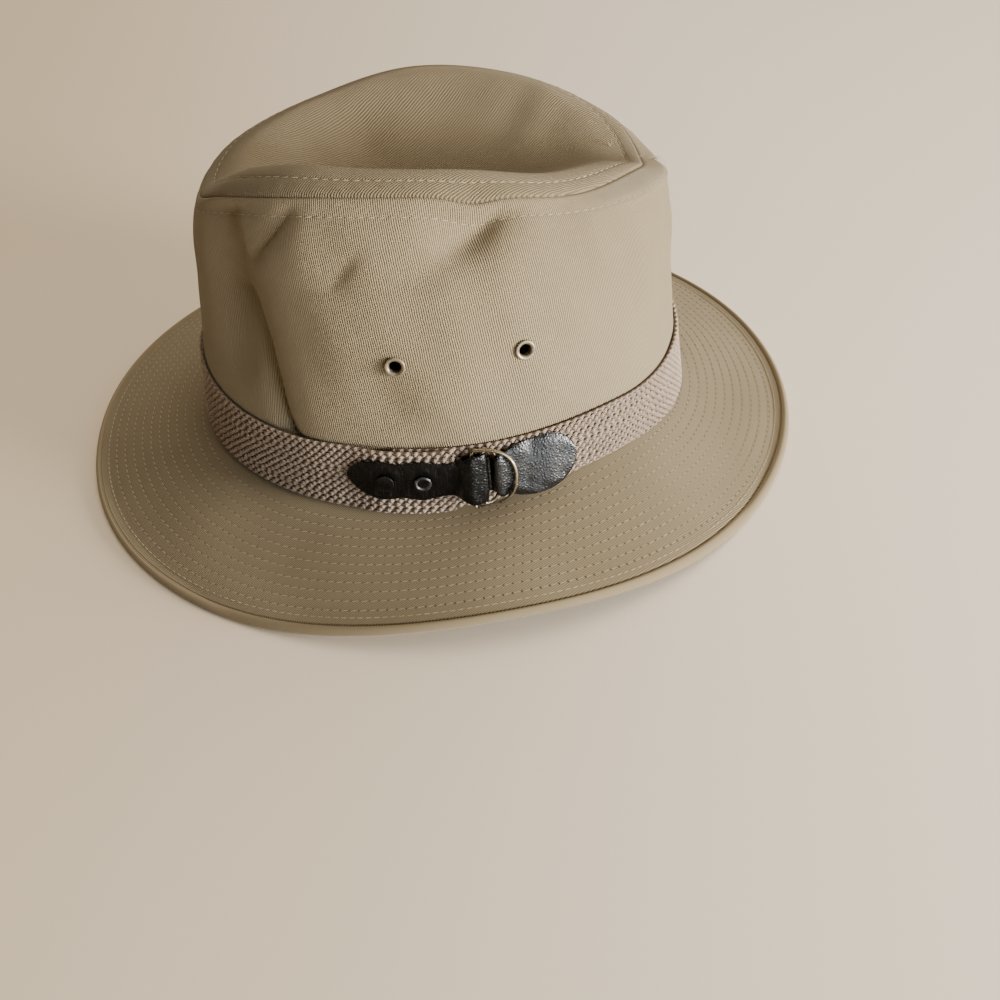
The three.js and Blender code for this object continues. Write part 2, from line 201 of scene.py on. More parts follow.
# place along, lean, width, depth, lowest and highest point of the hairline creases in the strap
STRAP_CREASES = (
    (-38.5, 0.12, 0.25, 0.08, -5, 5),
    (-30.2, 0.02, 0.25, 0.12, -8, 5),
    (-28.9, 0.05, 0.32, 0.16, -8, 8),
    (-27.8, -0.03, 0.25, 0.12, -7, 6),
    (-26.9, 0.06, 0.25, 0.1, -4, 8),
    (-17.2, 0.05, 0.25, 0.12, -7, 6),
    (-15.6, -0.06, 0.28, 0.12, -6, 7),
    (-14.2, 0.04, 0.25, 0.1, -7, 3),
    (-12.6, 0.08, 0.3, 0.16, -7, 7),
    (-11.2, -0.05, 0.28, 0.14, -7, 7),
)
# how far the loose tab's end turns up
TAB_RISE = 1.5
# how far the roll sits above the middle of the strap
ROLL_RISE = 0.7
# length along the front strap at which its roll round the rings starts
ROLL_FROM = 40.8
# name, bar, bow, half height, how far out the bar and the bow are
RINGS = (
    ("ring_outer", -3.6, 11.7, 11.4, 4.25, 5.9),
    ("ring_inner", -0.1, 6.3, 10.4, 4.25, 3.0),
)

# Stitching: rows from the brim's edge inwards, and the length of one stitch
STITCH = 3.45
BRIM_ROW_FIRST = 9.2
BRIM_ROW_STEP = 3.87
BRIM_ROWS = 11
# place of the hem's groove on the map of the stitch rows
HEM_MAP = 6.2
# angle, and width in plan of the hem, which curls under most at the front
HEM_WIDTHS = np.array(
    [
        (0.0, 3.2),
        (45.0, 2.6),
        (90.0, 2.7),
        (135.0, 2.5),
        (180.0, 2.5),
        (205.0, 2.6),
        (222.0, 3.2),
        (242.0, 3.6),
        (270.0, 2.9),
        (300.0, 3.9),
        (330.0, 4.0),
        (345.0, 3.4),
        (360.0, 3.2),
    ]
)
# distance from the tip seam of the row on the wall and of the row on the top panel
SEAM_ROW = 6.6
TIP_ROW = 5.4
# depth and width of the tuck at a seam
SEAM_TUCK = (0.85, 1.2)
# depth, added depth at a pucker and width of a stitched row, and of the swell beside it
ROW_DRAW = (0.22, 0.10, 0.55)
ROW_SWELL = (0.18, 0.10, 2.0)
# length, width, height and slant of one stitch, and how far its middle stands above the cloth
BRIM_STITCH = (2.5, 0.3, 0.24, math.radians(9))
HEM_STITCH = (2.2, 0.42, 0.36, math.radians(3))
SEAM_STITCH = (2.6, 0.36, 0.32, math.radians(4))
BRIM_STITCH_UP = 0.07
HEM_STITCH_UP = 0.16
SEAM_STITCH_UP = 0.12
HEM_PITCH = 3.0

# Twill: spacing of its ridges, their lean on the crown wall and on the brim, and the turn of the top panel
WALE = 0.74
WALL_LEAN = math.radians(-9)
BRIM_LEAN = math.radians(61)
TIP_GRAIN = math.radians(70)

# Weave of the band: rows across it, waves along it and their shift from row to row
WEAVE_ROW = 1.61
WEAVE_WAVE = 3.16
WEAVE_SHIFT = 1.58
# how a yarn stands off the band and how wide it is: the mean, and the swing from bump to dive
YARN_STAND = (0.82, 0.46)
YARN_WIDE = (0.76, 0.46)
YARN_RISE = 0.03
YARN_THICK = 0.44
YARN_STEPS = 6
YARN_SIDES = 6


# Camera, light and floor

# place, width and power of the low window that lights the hat from the right, and of the pale card in front of it
WINDOW = ((1.28, -0.84, 0.20), 0.6, 72, (1.0, 0.955, 0.87))
CARD = ((0.48, -0.92, 0.10), 0.6, 9, (0.80, 0.90, 1.0))
# way to the brightest part of the ceiling, its tone, the tone of the walls, and how narrow the bright part is
ROOM_WAY = (0.36, 0.45, 0.82)
ROOM_HIGH = (2.50, 2.23, 1.82, 1)
ROOM_LOW = (0.05, 0.042, 0.033, 1)
ROOM_LOBE = 2.6
HAT_MIDDLE = (0, 0, 0.06)
# the camera that took the photo: its lens and sensor in millimetres and its place in metres
PHOTO_LENS = 36.0
PHOTO_SENSOR = 36.0
PHOTO_PLACE = (
    (0.9784, 0.1605, -0.1304, -0.04261),
    (-0.2056, 0.6886, -0.6953, -0.3513),
    (-0.0219, 0.7071, 0.7068, 0.28666),
    (0, 0, 0, 1),
)
# two tones of the table on its left and on its right, and where the one turns into the other; the darker left is
# painted shade, on the side away from the window
TABLE_LEFT_PAINTED_SHADE = ((0.67, 0.55, 0.402, 1), (0.70, 0.58, 0.43, 1))
TABLE_RIGHT = ((0.92, 0.82, 0.70, 1), (0.945, 0.85, 0.735, 1))
TABLE_TURN = (-0.32, 0.30)


def photo_camera():
    lens = bpy.data.cameras.new("photo_camera")
    lens.sensor_width = PHOTO_SENSOR
    lens.lens = PHOTO_LENS
    lens.clip_start = 0.01
    camera = bpy.data.objects.new("photo_camera", lens)
    bpy.context.scene.collection.objects.link(camera)
    camera.matrix_world = Matrix(PHOTO_PLACE)
    bpy.context.scene.camera = camera


def soft_light(name, place, size, power, colour):
    lamp = bpy.data.lights.new(name, "AREA")
    lamp.shape = "DISK"
    lamp.size = size
    lamp.energy = power
    lamp.color = colour
    light = bpy.data.objects.new(name, lamp)
    bpy.context.scene.collection.objects.link(light)
    light.location = place
    light.rotation_euler = (Vector(HAT_MIDDLE) - Vector(place)).to_track_quat("-Z", "Y").to_euler()


def room_light():
    """A pale room with a bright ceiling, a window low on the right and a card that shines in the leather."""
    world = bpy.data.worlds.new("room")
    world.use_nodes = True
    tree = world.node_tree
    side = tree.nodes.new("ShaderNodeVectorMath")
    side.operation = "DOT_PRODUCT"
    side.inputs[1].default_value = ROOM_WAY
    put(tree, side.inputs[0], tree.nodes.new("ShaderNodeTexCoord").outputs["Generated"])
    high = maths(tree, "POWER", maths(tree, "MAXIMUM", side.outputs["Value"], 0.0), ROOM_LOBE)
    put(tree, tree.nodes["Background"].inputs["Color"], tinted(tree, high, ROOM_LOW, ROOM_HIGH))
    bpy.context.scene.world = world
    soft_light("window", *WINDOW)
    soft_light("card", *CARD)


def floor_material():
    material, tree, shader = new_finish("pale_table", 0.75, specular=0.2)
    place = object_place(tree)
    split = tree.nodes.new("ShaderNodeSeparateXYZ")
    put(tree, split.inputs[0], place)
    across = ramp(tree, split.outputs[0], *TABLE_TURN)
    cloud = noise(tree, place, 2.2)
    # painted shade: the table is darker towards the left
    colour = tinted(tree, across, tinted(tree, cloud, *TABLE_LEFT_PAINTED_SHADE), tinted(tree, cloud, *TABLE_RIGHT))
    put(tree, shader.inputs["Base Color"], colour)
    return material


def floor():
    bpy.ops.object.select_all(action="DESELECT")
    bpy.ops.mesh.primitive_plane_add(size=6, location=(0, 0, -0.0004))
    table = bpy.context.object
    table.name = "table"
    bpy.ops.object.transform_apply(location=True, rotation=True, scale=True)
    table.data.materials.append(floor_material())


# Shapes, in millimetres


def through(at, values, where, looped=False):
    """A smooth curve through the rows of a table."""
    at = np.asarray(at, float)
    values = np.asarray(values, float)
    where = np.clip(np.asarray(where, float), at[0], at[-1])
    count = len(at)
    after = np.clip(np.searchsorted(at, where, side="right"), 1, count - 1)
    before = after - 1
    first, last = before == 0, after == count - 1
    start, end = at[before], at[after]
    following = np.minimum(after + 1, count - 1)
    if looped:
        ahead = np.where(last, 1, following)
        behind = np.where(first, count - 2, before - 1)
        at_ahead = np.where(last, end + at[1] - at[0], at[ahead])
        at_behind = np.where(first, start + at[-2] - at[-1], at[behind])
    else:
        ahead = np.where(last, before, following)
        behind = np.where(first, after, before - 1)
        at_ahead, at_behind = at[ahead], at[behind]
    p = (where - start) / (end - start)
    lead = 0.5 * (end - start) / (start - at_behind)
    trail = 0.5 * (end - start) / (at_ahead - end)
    return (
        (-lead * p**3 + 2 * lead * p**2 - lead * p) * values[behind]
        + ((1 + lead) * p**3 - (1.5 + 2 * lead) * p**2 + (lead - 0.5) * p + 1) * values[before]
        + (-(1 + trail) * p**3 + (1.5 + trail) * p**2 + 0.5 * p) * values[after]
        + (trail * p**3 - trail * p**2) * values[ahead]
    )


def ease(x, low, high):
    """A soft step from 0 at low to 1 at high; low may be the larger."""
    t = np.clip((x - low) / (high - low), 0, 1)
    return t * t * (3 - 2 * t)


def unit(vectors):
    return vectors / np.linalg.norm(vectors, axis=-1, keepdims=True)


def turn_from(angle, middle):
    """Degrees from the middle angle, from -180 to 180."""
    return (angle - middle + 180) % 360 - 180


def root_rise(angle):
    """How much higher the crown meets the brim on either side of the back."""
    return ROOT_RISE * np.exp(-(((np.abs(turn_from(angle, 0)) - 60) / 26) ** 2))


def seam_dip(angle):
    return SEAM_DIP * np.exp(-((turn_from(angle, SEAM_DIP_AT) / 6) ** 2))


def seam_height(angle):
    level = through(np.arange(13) * 30.0, SEAM, np.mod(angle, 360), True)
    return level - seam_dip(angle)


def oval(angle, front, back, half, square, blunt=2.0):
    """Plan point of an oval whose back may be squarer than its front."""
    c, s = np.cos(np.radians(angle)), np.sin(np.radians(angle))
    reach = np.where(c < 0, front, back)
    bearing = np.arctan2(half * s, reach * c)
    power = blunt + (square - blunt) * (1 + c) / 2
    across = np.abs(np.cos(bearing)) / reach
    side = np.abs(np.sin(bearing)) / half
    radius = (across**power + side**power) ** (-1 / power)
    return radius * np.cos(bearing), radius * np.sin(bearing)


def back_roll(angle, share):
    """How far the wall rolls in towards the tip at the back, above a slight shoulder."""
    shoulder = 0.33 * np.exp(-(((share - 0.955) / 0.02) ** 2))
    return BACK_ROLL * (ease(share, 0.962, 1) - shoulder) * ease(np.abs(turn_from(angle, -20)), 50, 12)


def wall_base(angle, share):
    angle, share = np.broadcast_arrays(np.asarray(angle, float), np.asarray(share, float))
    sizes = [through(WALL[:, 0], WALL[:, column], share) for column in range(1, 5)]
    x, y = oval(angle, *sizes)
    root = root_rise(angle)
    inwards = 1 - back_roll(angle, share) / np.hypot(x, y)
    return np.stack([x * inwards, y * inwards, root + share * (seam_height(angle) - root)], -1)


def normal_of(surface, angle, share):
    low, high = np.maximum(share - 0.01, 0), np.minimum(share + 0.01, 1)
    round_way = surface(angle + 0.5, share) - surface(angle - 0.5, share)
    return unit(np.cross(round_way, surface(angle, high) - surface(angle, low)))


def pressed(rows, angle, share):
    """Depth of the round dents in a table."""
    depth = 0.0
    for middle, height, turn, length, width, deep in rows:
        u = np.radians(turn_from(angle, middle)) * WALL_ROUND
        v = (share - height) * WALL_TALL
        c, s = math.cos(math.radians(turn)), math.sin(math.radians(turn))
        along, wide = (u * s + v * c) / length, (u * c - v * s) / width
        depth = depth + deep * np.exp(-(along**2) - wide**2)
    return depth


# the same for slack places in the cloth
SOFT_FOLDS = (
    (292.0, 0.60, 0, 30, 14, 0.8),
    (120.0, 0.80, -25, 16, 7, 1.6),
    (96.0, 0.55, 8, 26, 10, 1.2),
    (60.0, 0.72, -12, 20, 9, 1.1),
    (30.0, 0.50, 6, 24, 9, 1.0),
    (330.0, 0.55, -6, 26, 10, 0.9),
)
# Folds that run along a line: share, angle, depth, width towards the front and towards the back
TUCK = (
    (0.18, 231.0, 2.0, 1.8, 2.4),
    (0.256, 227.5, 4.6, 2.0, 2.6),
    (0.304, 225.5, 6.0, 2.4, 3.0),
    (0.404, 222.5, 6.6, 3.6, 4.0),
    (0.50, 220.0, 6.4, 5.0, 5.0),
    (0.58, 217.5, 5.6, 6.0, 6.0),
    (0.66, 212.5, 4.2, 8.0, 8.0),
    (0.74, 206.0, 2.0, 10.0, 10.0),
    (0.80, 202.0, 0.0, 10.0, 10.0),
)
PINCH_RIDGE = (
    (0.70, 218.0, 0.0, 4.0, 7.0),
    (0.80, 217.0, -1.7, 4.2, 7.0),
    (0.87, 216.4, -2.6, 4.0, 7.0),
    (0.95, 215.2, -2.0, 4.0, 7.0),
    (1.0, 215.0, -0.4, 4.0, 7.0),
)
PINCH_GROOVE = (
    (0.79, 217.5, 0.0, 5.0, 4.4),
    (0.84, 220.5, 2.2, 5.0, 4.2),
    (0.90, 225.8, 3.2, 5.0, 4.4),
    (0.95, 230.0, 2.7, 5.0, 4.6),
    (1.0, 233.0, 0.4, 5.0, 5.0),
)
SIDE_DENT = (
    (0.76, 259.5, 0.0, 9.0, 8.0),
    (0.845, 266.0, 3.2, 9.0, 7.0),
    (0.905, 271.0, 5.8, 9.0, 6.4),
    (0.955, 275.5, 5.2, 9.0, 6.4),
    (1.0, 279.0, 1.0, 9.0, 7.4),
)
DIMPLE = (
    (0.75, 240.5, 0.0, 6.0, 3.2),
    (0.79, 242.2, 1.0, 6.0, 3.0),
    (0.83, 244.6, 1.3, 6.0, 3.0),
    (0.87, 246.8, 0.5, 6.0, 3.2),
    (0.90, 248.5, 0.0, 6.0, 3.2),
)
LOW_RIDGE = (
    (0.20, 271.0, 0.0, 6.0, 12.0),
    (0.27, 268.6, -0.5, 6.0, 12.0),
    (0.33, 266.6, -1.4, 6.4, 12.0),
    (0.404, 264.2, -1.8, 6.8, 12.0),
    (0.528, 260.5, -1.1, 7.0, 12.0),
    (0.62, 257.5, 0.0, 8.0, 12.0),
)
LOW_HOLLOW = (
    (0.29, 254.0, 0.0, 12.0, 9.0),
    (0.40, 251.5, 1.3, 12.0, 9.0),
    (0.54, 249.0, 0.6, 12.0, 9.0),
    (0.64, 248.0, 0.0, 12.0, 9.0),
)
# fold and how round its bottom is
FOLD_LINES = (
    (np.array(TUCK), 0.05),
    (np.array(PINCH_RIDGE), 0.3),
    (np.array(PINCH_GROOVE), 0.12),
    (np.array(SIDE_DENT), 0.6),
    (np.array(DIMPLE), 0.2),
    (np.array(LOW_RIDGE), 0.8),
    (np.array(LOW_HOLLOW), 0.8),
)


def folded(rows, bottom, angle, share):
    """Depth of a fold that runs along a line of the wall; bottom is the roundness of its bottom."""
    middle, deep, front, back = (through(rows[:, 0], rows[:, column], share) for column in range(1, 5))
    within = (share > rows[0, 0] - 0.05) & (share <= rows[-1, 0])
    u = np.radians(turn_from(angle, middle)) * WALL_ROUND
    wide = u / np.where(u < 0, front, back)
    return within * deep * np.exp(bottom - np.sqrt(wide**2 + bottom**2))


# Slight unevenness of sewn cloth: size, waves round the hat, climb of the waves and where they start
RIPPLE = ((0.22, 9, 5, 0.6), (0.18, 15, -8, 2.1), (0.12, 27, 11, 4.0), (0.10, 5, 23, 1.2))
TIP_WAVES = ((0.18, 6, 9, 0.0), (0.12, 11, -14, 1.0))
BRIM_WAVES = ((0.35, 4, 0, 0.5), (0.3, 7, 0, 2.0), (0.2, 12, 0, 1.0))


def uneven(waves, angle, level):
    a = np.radians(angle)
    return sum(size * np.sin(turns * a + climb * level + start) for size, turns, climb, start in waves)


def wall_folds(angle, share):
    """Depth of all folds of the wall, which its seam and the band hold smooth."""
    held = (1 - ease(share, 0.965, 1)) * ease(share, 0.1, 0.26)
    depth = pressed(DENTS, angle, share) * ease(share, 0.27, 0.44) + pressed(SOFT_FOLDS, angle, share)
    for rows, bottom in FOLD_LINES:
        depth = depth + folded(rows, bottom, angle, share)
    return (depth + uneven(RIPPLE, angle, share) * ease(share, 0.28, 0.42)) * held


def wall_form(angle, share):
    push = -wall_folds(angle, share)
    return wall_base(angle, share) + normal_of(wall_base, angle, share) * push[..., None]


def seam_rows(away, arc, row_at=SEAM_ROW):
    """How a seam and its row of top stitching draw the cloth in; away is the distance from the seam."""
    pucker = 0.5 + 0.5 * np.sin(arc * 2 * np.pi / (2 * STITCH))
    tuck = -SEAM_TUCK[0] * np.clip(1 - away / SEAM_TUCK[1], 0, 1) ** 2
    row = -(ROW_DRAW[0] + ROW_DRAW[1] * pucker) * np.exp(-(((away - row_at) / ROW_DRAW[2]) ** 2))
    swell = (ROW_SWELL[0] + ROW_SWELL[1] * pucker) * np.exp(-(((away - row_at / 2) / ROW_SWELL[2]) ** 2))
    return tuck + row + swell


# degrees from the middle of the strap side, and how much higher the band's upper edge runs there
BAND_SWAY = np.array(
    [
        (-180.0, 0.0),
        (-90.0, 0.0),
        (-57.0, -1.6),
        (-39.0, -1.6),
        (-26.0, -0.5),
        (0.0, -0.5),
        (30.0, 1.0),
        (43.0, -0.4),
        (90.0, 0.0),
        (180.0, 0.0),
    ]
)


def band_sway(angle):
    return through(BAND_SWAY[:, 0], BAND_SWAY[:, 1], turn_from(angle, 270))


def wall_skin(angle, share):
    """The outside of the crown wall as sewn, drawn in under the band's upper edge and at the back seam."""
    push = seam_rows((1 - share) * SEAM_SPAN, np.radians(np.mod(angle, 360)) * TIP_SPAN)
    root = root_rise(angle)
    height = root + share * (seam_height(angle) - root)
    above = height - BAND_TOP - band_sway(angle)
    push = push - 0.4 * ease(above, 0.0, -0.8) * ease(above, -8, -3)
    push = push - 0.7 * np.exp(-((np.radians(turn_from(angle, 0)) * 95 / 0.9) ** 2))
    return wall_form(angle, share) + normal_of(wall_base, angle, share) * push[..., None]


def tip_climb(angle):
    return through(TIP_CLIMB[:, 0], TIP_CLIMB[:, 1], np.mod(angle, 360), True)


def tip_form(angle, inward):
    """The top panel without its seam and dimples; inward runs from 0 at the seam to 1 at the middle."""
    edge = wall_base(angle, np.ones_like(angle))
    climb = through(TIP[:, 0], TIP[:, 1], inward) * tip_climb(angle)
    sink = through(TIP[:, 0], TIP[:, 2], inward)
    climb = climb + seam_dip(angle) * ease(inward, 0, 0.12) * (1 - sink)
    x, y = edge[..., 0] * (1 - inward), edge[..., 1] * (1 - inward)
    return np.stack([x, y, edge[..., 2] + climb - sink * (edge[..., 2] - DENT_FLOOR)], -1)


def tip_dimples(points):
    """Depth of the soft dimples, which lie where the table puts them on the plain panel."""
    depth = 0.0
    for angle, inward, length, width, deep in TIP_DIMPLES:
        middle = tip_form(np.array([float(angle)]), np.array([inward]))[0]
        away = points[..., :2] - middle[:2]
        out = middle[:2] / np.linalg.norm(middle[:2])
        along, wide = away @ out, away @ np.array([-out[1], out[0]])
        depth = depth + deep * np.exp(-((along / length) ** 2) - (wide / width) ** 2)
    return depth


def tip_normal(angle, inward):
    # both ends stay off the middle, where the panel has no direction round it
    low, high = np.clip(inward - 0.015, 0, 0.955), np.minimum(inward + 0.015, 0.985)
    at = np.clip(inward, 0, 0.97)
    round_way = tip_form(angle + 0.5, at) - tip_form(angle - 0.5, at)
    normal = unit(np.cross(round_way, tip_form(angle, high) - tip_form(angle, low)))
    level = ease(inward, 0.75, 0.98)[..., None]
    return unit(normal * (1 - level) + np.array([0.0, 0.0, 1.0]) * level)


def tip_skin(angle, inward):
    """The top panel as sewn."""
    angle = np.mod(angle, 360)
    push = seam_rows(inward * TIP_SPAN, np.radians(angle) * TIP_SPAN, TIP_ROW)
    spread = ease(inward, 0.1, 0.3) * (1 - ease(inward, 0.4, 0.62))
    push = push + spread * uneven(TIP_WAVES, angle, inward)
    points = tip_form(angle, inward)
    push = push - tip_dimples(points) * ease(inward, 0.08, 0.2)
    return points + tip_normal(angle, inward) * push[..., None]


def on_crown(points):
    """From the crown's own level frame to the hat, where the crown leans a little."""
    c, s = math.cos(CROWN_TILT), math.sin(CROWN_TILT)
    x, y, z = points[..., 0], points[..., 1], points[..., 2]
    return np.stack([x * c + z * s, y, z * c - x * s + CROWN_LIFT], -1)


def share_at(angle, height):
    """Share of the wall's height at a height above the level of its foot."""
    root = root_rise(angle)
    return np.maximum(0, (height - root) / (seam_height(angle) - root))


def strap_height(angle):
    return STRAP_MIDDLE + STRAP_FOLLOW * root_rise(angle)


def off_wall(angle, height, out):
    """A point off the plain wall, in the crown's own frame."""
    share = share_at(angle, height)
    return wall_base(angle, share) + normal_of(wall_base, angle, share) * out[..., None]


def beside_band(along, up, out):
    """A point off the wall, by its length along the band and its height above the strap's middle."""
    angle = angle_at(along)
    return off_wall(angle, strap_height(angle) + up, np.asarray(out, float))


def ring_lean(along, up):
    """How far the strap and the rings lean out at their lower edge."""
    return RING_LEAN * (9 - up) * ease(along, -11, -6)


def lap_lift(along):
    """How far the band's upper layer is lifted where it laps over its start."""
    return (BAND_THICK + GAP) * ease(along, LAP_FROM, LAP_TO)


def brim_rails(angle):
    """Inner and outer plan points of the brim and the heights of its underside there."""
    foot = np.zeros_like(angle)
    inner = wall_base(angle, foot) - CLOTH * normal_of(wall_base, angle, foot)
    outer = np.stack(oval(angle, BRIM_REACH, BRIM_REACH, BRIM_HALF, 2.03, 2.1), -1)
    root = CROWN_LIFT - inner[..., 0] * math.tan(CROWN_TILT) + root_rise(angle) - BRIM_THICK
    edge = (SIDE_LIFT + EDGE_PRESS) * np.abs(np.sin(np.radians(angle))) ** 8 - EDGE_PRESS
    return inner[..., :2], outer, root, edge


def brim_point(angle, inset, lift):
    """A point of the brim, inset from its edge in plan and lifted above its underside."""
    inner, outer, root, edge = brim_rails(angle)
    width = np.linalg.norm(outer - inner, axis=-1)
    across = 1 - inset / width
    flat = inner + (outer - inner) * across[..., None]
    under = np.maximum(0, root + (edge - root) * across)
    return np.concatenate([flat, (under + lift)[..., None]], -1)


def brim_width(angle):
    inner, outer, _, _ = brim_rails(angle)
    return np.linalg.norm(outer - inner, axis=-1)


def hem_inset(angle):
    """Plan distance from the edge to the groove beside the rolled hem."""
    return through(HEM_WIDTHS[:, 0], HEM_WIDTHS[:, 1], np.mod(angle, 360), True)


def brim_relief(inset):
    """Rows of stitching drawn into the brim, with the cloth swelling between them."""
    row = (inset - BRIM_ROW_FIRST) / BRIM_ROW_STEP
    off = (row - np.round(row)) * BRIM_ROW_STEP
    inside = ease(inset, BRIM_ROW_FIRST - 2.2, BRIM_ROW_FIRST - 0.6)
    inside = inside * (1 - ease(inset, BRIM_ROW_FIRST + (BRIM_ROWS - 0.6) * BRIM_ROW_STEP, 60))
    return inside * (0.02 - 0.08 * np.exp(-((off / 0.5) ** 2)))


# Making pieces


def select_only(piece):
    bpy.ops.object.select_all(action="DESELECT")
    piece.select_set(True)
    bpy.context.view_layer.objects.active = piece


def vertex_places(mesh):
    places = np.empty(len(mesh.vertices) * 3)
    mesh.vertices.foreach_get("co", places)
    return places.reshape(-1, 3)


def set_places(mesh, places):
    mesh.vertices.foreach_set("co", np.asarray(places, np.float32).ravel())
    mesh.update()


def close_seams(piece, nearness=2e-6):
    select_only(piece)
    bpy.ops.object.mode_set(mode="EDIT")
    bpy.ops.mesh.select_all(action="SELECT")
    bpy.ops.mesh.remove_doubles(threshold=nearness)
    bpy.ops.mesh.dissolve_degenerate(threshold=1e-7)
    bpy.ops.mesh.normals_make_consistent(inside=False)
    bpy.ops.object.mode_set(mode="OBJECT")
    bpy.ops.object.shade_smooth()


def panel(name, columns, rows, shape, flat, rows_map=None):
    """A flat grid of cloth, bent to its sewn shape; flat gives each point's place on the cloth, in millimetres."""
    bpy.ops.object.select_all(action="DESELECT")
    bpy.ops.mesh.primitive_grid_add(x_subdivisions=columns, y_subdivisions=rows, size=2)
    piece = bpy.context.object
    piece.name = piece.data.name = name
    mesh = piece.data
    places = vertex_places(mesh)
    u, v = (places[:, 0] + 1) / 2, (places[:, 1] + 1) / 2
    points = shape(u, v)
    set_places(mesh, points * MM)
    corners = np.empty(len(mesh.loops), int)
    mesh.loops.foreach_get("vertex_index", corners)
    mesh.uv_layers[0].name = "cloth"
    mesh.uv_layers["cloth"].data.foreach_set("uv", np.asarray(flat(u, v, points), np.float32)[corners].ravel())
    if rows_map is not None:
        layer = mesh.uv_layers.new(name="rows")
        layer.data.foreach_set("uv", np.asarray(rows_map(u, v, points), np.float32)[corners].ravel())
    close_seams(piece)
    return piece


def one_piece(pieces, name):
    bpy.ops.object.select_all(action="DESELECT")
    for piece in pieces:
        piece.select_set(True)
    bpy.context.view_layer.objects.active = pieces[0]
    bpy.ops.object.join()
    piece = bpy.context.object
    piece.name = piece.data.name = name
    return piece


def finish_piece(piece, material, slot, *nodes):
    """Gives a piece its material; the slot is not used; nodes are the solids that it takes the place of."""
    piece.data.materials.clear()
    piece.data.materials.append(material)
    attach(piece, "root")
    if nodes:
        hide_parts(*nodes)


def pick(rows, t):
    """Rows of a table at whole steps of t from 0 to 1."""
    return rows[np.rint(t * (len(rows) - 1)).astype(int)]


def section(*runs):
    """A section given as runs of (first, last, count)."""
    return np.concatenate([np.linspace(*run) for run in runs])


# Cloth pieces


def crown_wall():
    """The side of the crown: up its outside, over its top and down its inside, finest beside the band and the seam."""
    outside = section((0, 0.22, 8), (0.225, 0.345, 40), (0.355, 0.93, 62), (0.935, 1.0, 16))
    inside = np.linspace(1, 0, 26)
    shares = np.concatenate([outside, [1, 1, 1], inside, [0, 0]])
    depths = np.concatenate([np.zeros(len(outside)), [0.25, 0.5, 0.75], np.ones(len(inside)), [0.5, 0.0]])

    def shape(u, v):
        angle, share, depth = u * 360, pick(shares, v), pick(depths, v)
        skin = wall_skin(angle, share)
        lining = wall_form(angle, share) - normal_of(wall_form, angle, share) * CLOTH
        sewn_in = np.clip(1 - share / 0.02, 0, 1)
        points = skin + (lining - skin) * (depth * (1 - 0.15 * sewn_in))[:, None]
        points[:, 2] -= FOOT_SEWN_IN * sewn_in
        return on_crown(points)

    def flat(u, v, points):
        return np.stack([np.radians(u * 360) * CLOTH_ROUND, pick(shares, v) * WALL_TALL], -1)

    piece = panel("crown_side_twill", 400, len(shares) - 1, shape, flat)
    punch_eyelets(piece)
    return piece


def eyelet_axes():
    """Place and direction of each eyelet, in metres."""
    for angle, height in EYELETS:
        at = np.array([angle])
        share = share_at(at, np.array([height]))
        point = on_crown(wall_form(at, share))[0]
        normal = normal_of(wall_base, at, share)
        tip = on_crown(wall_form(at, share) + normal)[0]
        yield Vector(point * MM), Vector(tip - point).normalized()


def punch_eyelets(piece):
    for point, normal in eyelet_axes():
        bpy.ops.object.select_all(action="DESELECT")
        bpy.ops.mesh.primitive_cylinder_add(
            vertices=32,
            radius=EYELET_HOLE * MM,
            depth=PUNCH * MM,
            location=point,
            rotation=normal.to_track_quat("Z", "Y").to_euler(),
        )
        punch = bpy.context.object
        select_only(piece)
        hole = piece.modifiers.new("eyelet_hole", "BOOLEAN")
        hole.operation = "DIFFERENCE"
        hole.object = punch
        hole.solver = "EXACT"
        bpy.ops.object.modifier_apply(modifier=hole.name)
        bpy.data.objects.remove(punch)
    select_only(piece)
    bpy.ops.object.shade_smooth_by_angle(angle=math.radians(50))


def crown_tip():
    """The top panel: from its middle out to the seam, and back along its inside."""
    outside = section((1.0, 0.16, 45), (0.15, TIP_EDGE, 26))
    inside = section((TIP_EDGE, 0.12, 8), (0.16, 1.0, 16))
    inwards = np.concatenate([outside, [TIP_EDGE], inside])
    depths = np.concatenate([np.zeros(len(outside)), [0.5], np.ones(len(inside))])

    def shape(u, v):
        angle, inward, depth = u * 360, pick(inwards, v), pick(depths, v)
        skin = tip_skin(angle, inward)
        lining = tip_form(angle, inward) - tip_normal(angle, inward) * CLOTH
        points = skin + (lining - skin) * depth[:, None]
        points[:, 2] -= SEAM_TURNED_IN * depth * np.clip(1 - inward / 0.03, 0, 1)
        return on_crown(points)

    def flat(u, v, points):
        c, s = math.cos(TIP_GRAIN), math.sin(TIP_GRAIN)
        spread = 1 + 0.06 * (1 - pick(inwards, v)) ** 6
        x, y = points[:, 0] * spread, points[:, 1] * spread
        return np.stack([x * c - y * s, x * s + y * c], -1)

    return panel("crown_tip_twill", 360, len(inwards) - 1, shape, flat)


def brim_sway(angle, inset, height):
    """The slow unevenness of the brim, none where it rests or meets the crown."""
    sway = uneven(BRIM_WAVES, angle, 0.0)
    free = ease(height, 1.0, 6.0) * ease(inset, 0, 14) * (1 - ease(inset, 38, 50))
    return np.clip(sway, -0.6, 0.9) * free


def brim_top(angle, inset):
    points = brim_point(angle, inset, BRIM_THICK + brim_relief(inset))
    points[..., 2] += brim_sway(angle, inset, points[..., 2] - BRIM_THICK)
    return points


# Section of the hem: share of the way from the groove to the edge, and lift above the brim's underside
HEM = np.array(
    [
        (-0.07, 2.1),
        (-0.03, 1.75),
        (0.02, 1.2),
        (0.06, 1.35),
        (0.12, 1.95),
        (0.22, 2.45),
        (0.36, 2.75),
        (0.52, 2.8),
        (0.68, 2.6),
        (0.82, 2.25),
        (0.92, 1.85),
        (0.98, 1.4),
        (1.0, 0.95),
        (0.98, 0.5),
        (0.92, 0.15),
        (0.8, 0.0),
    ]
)
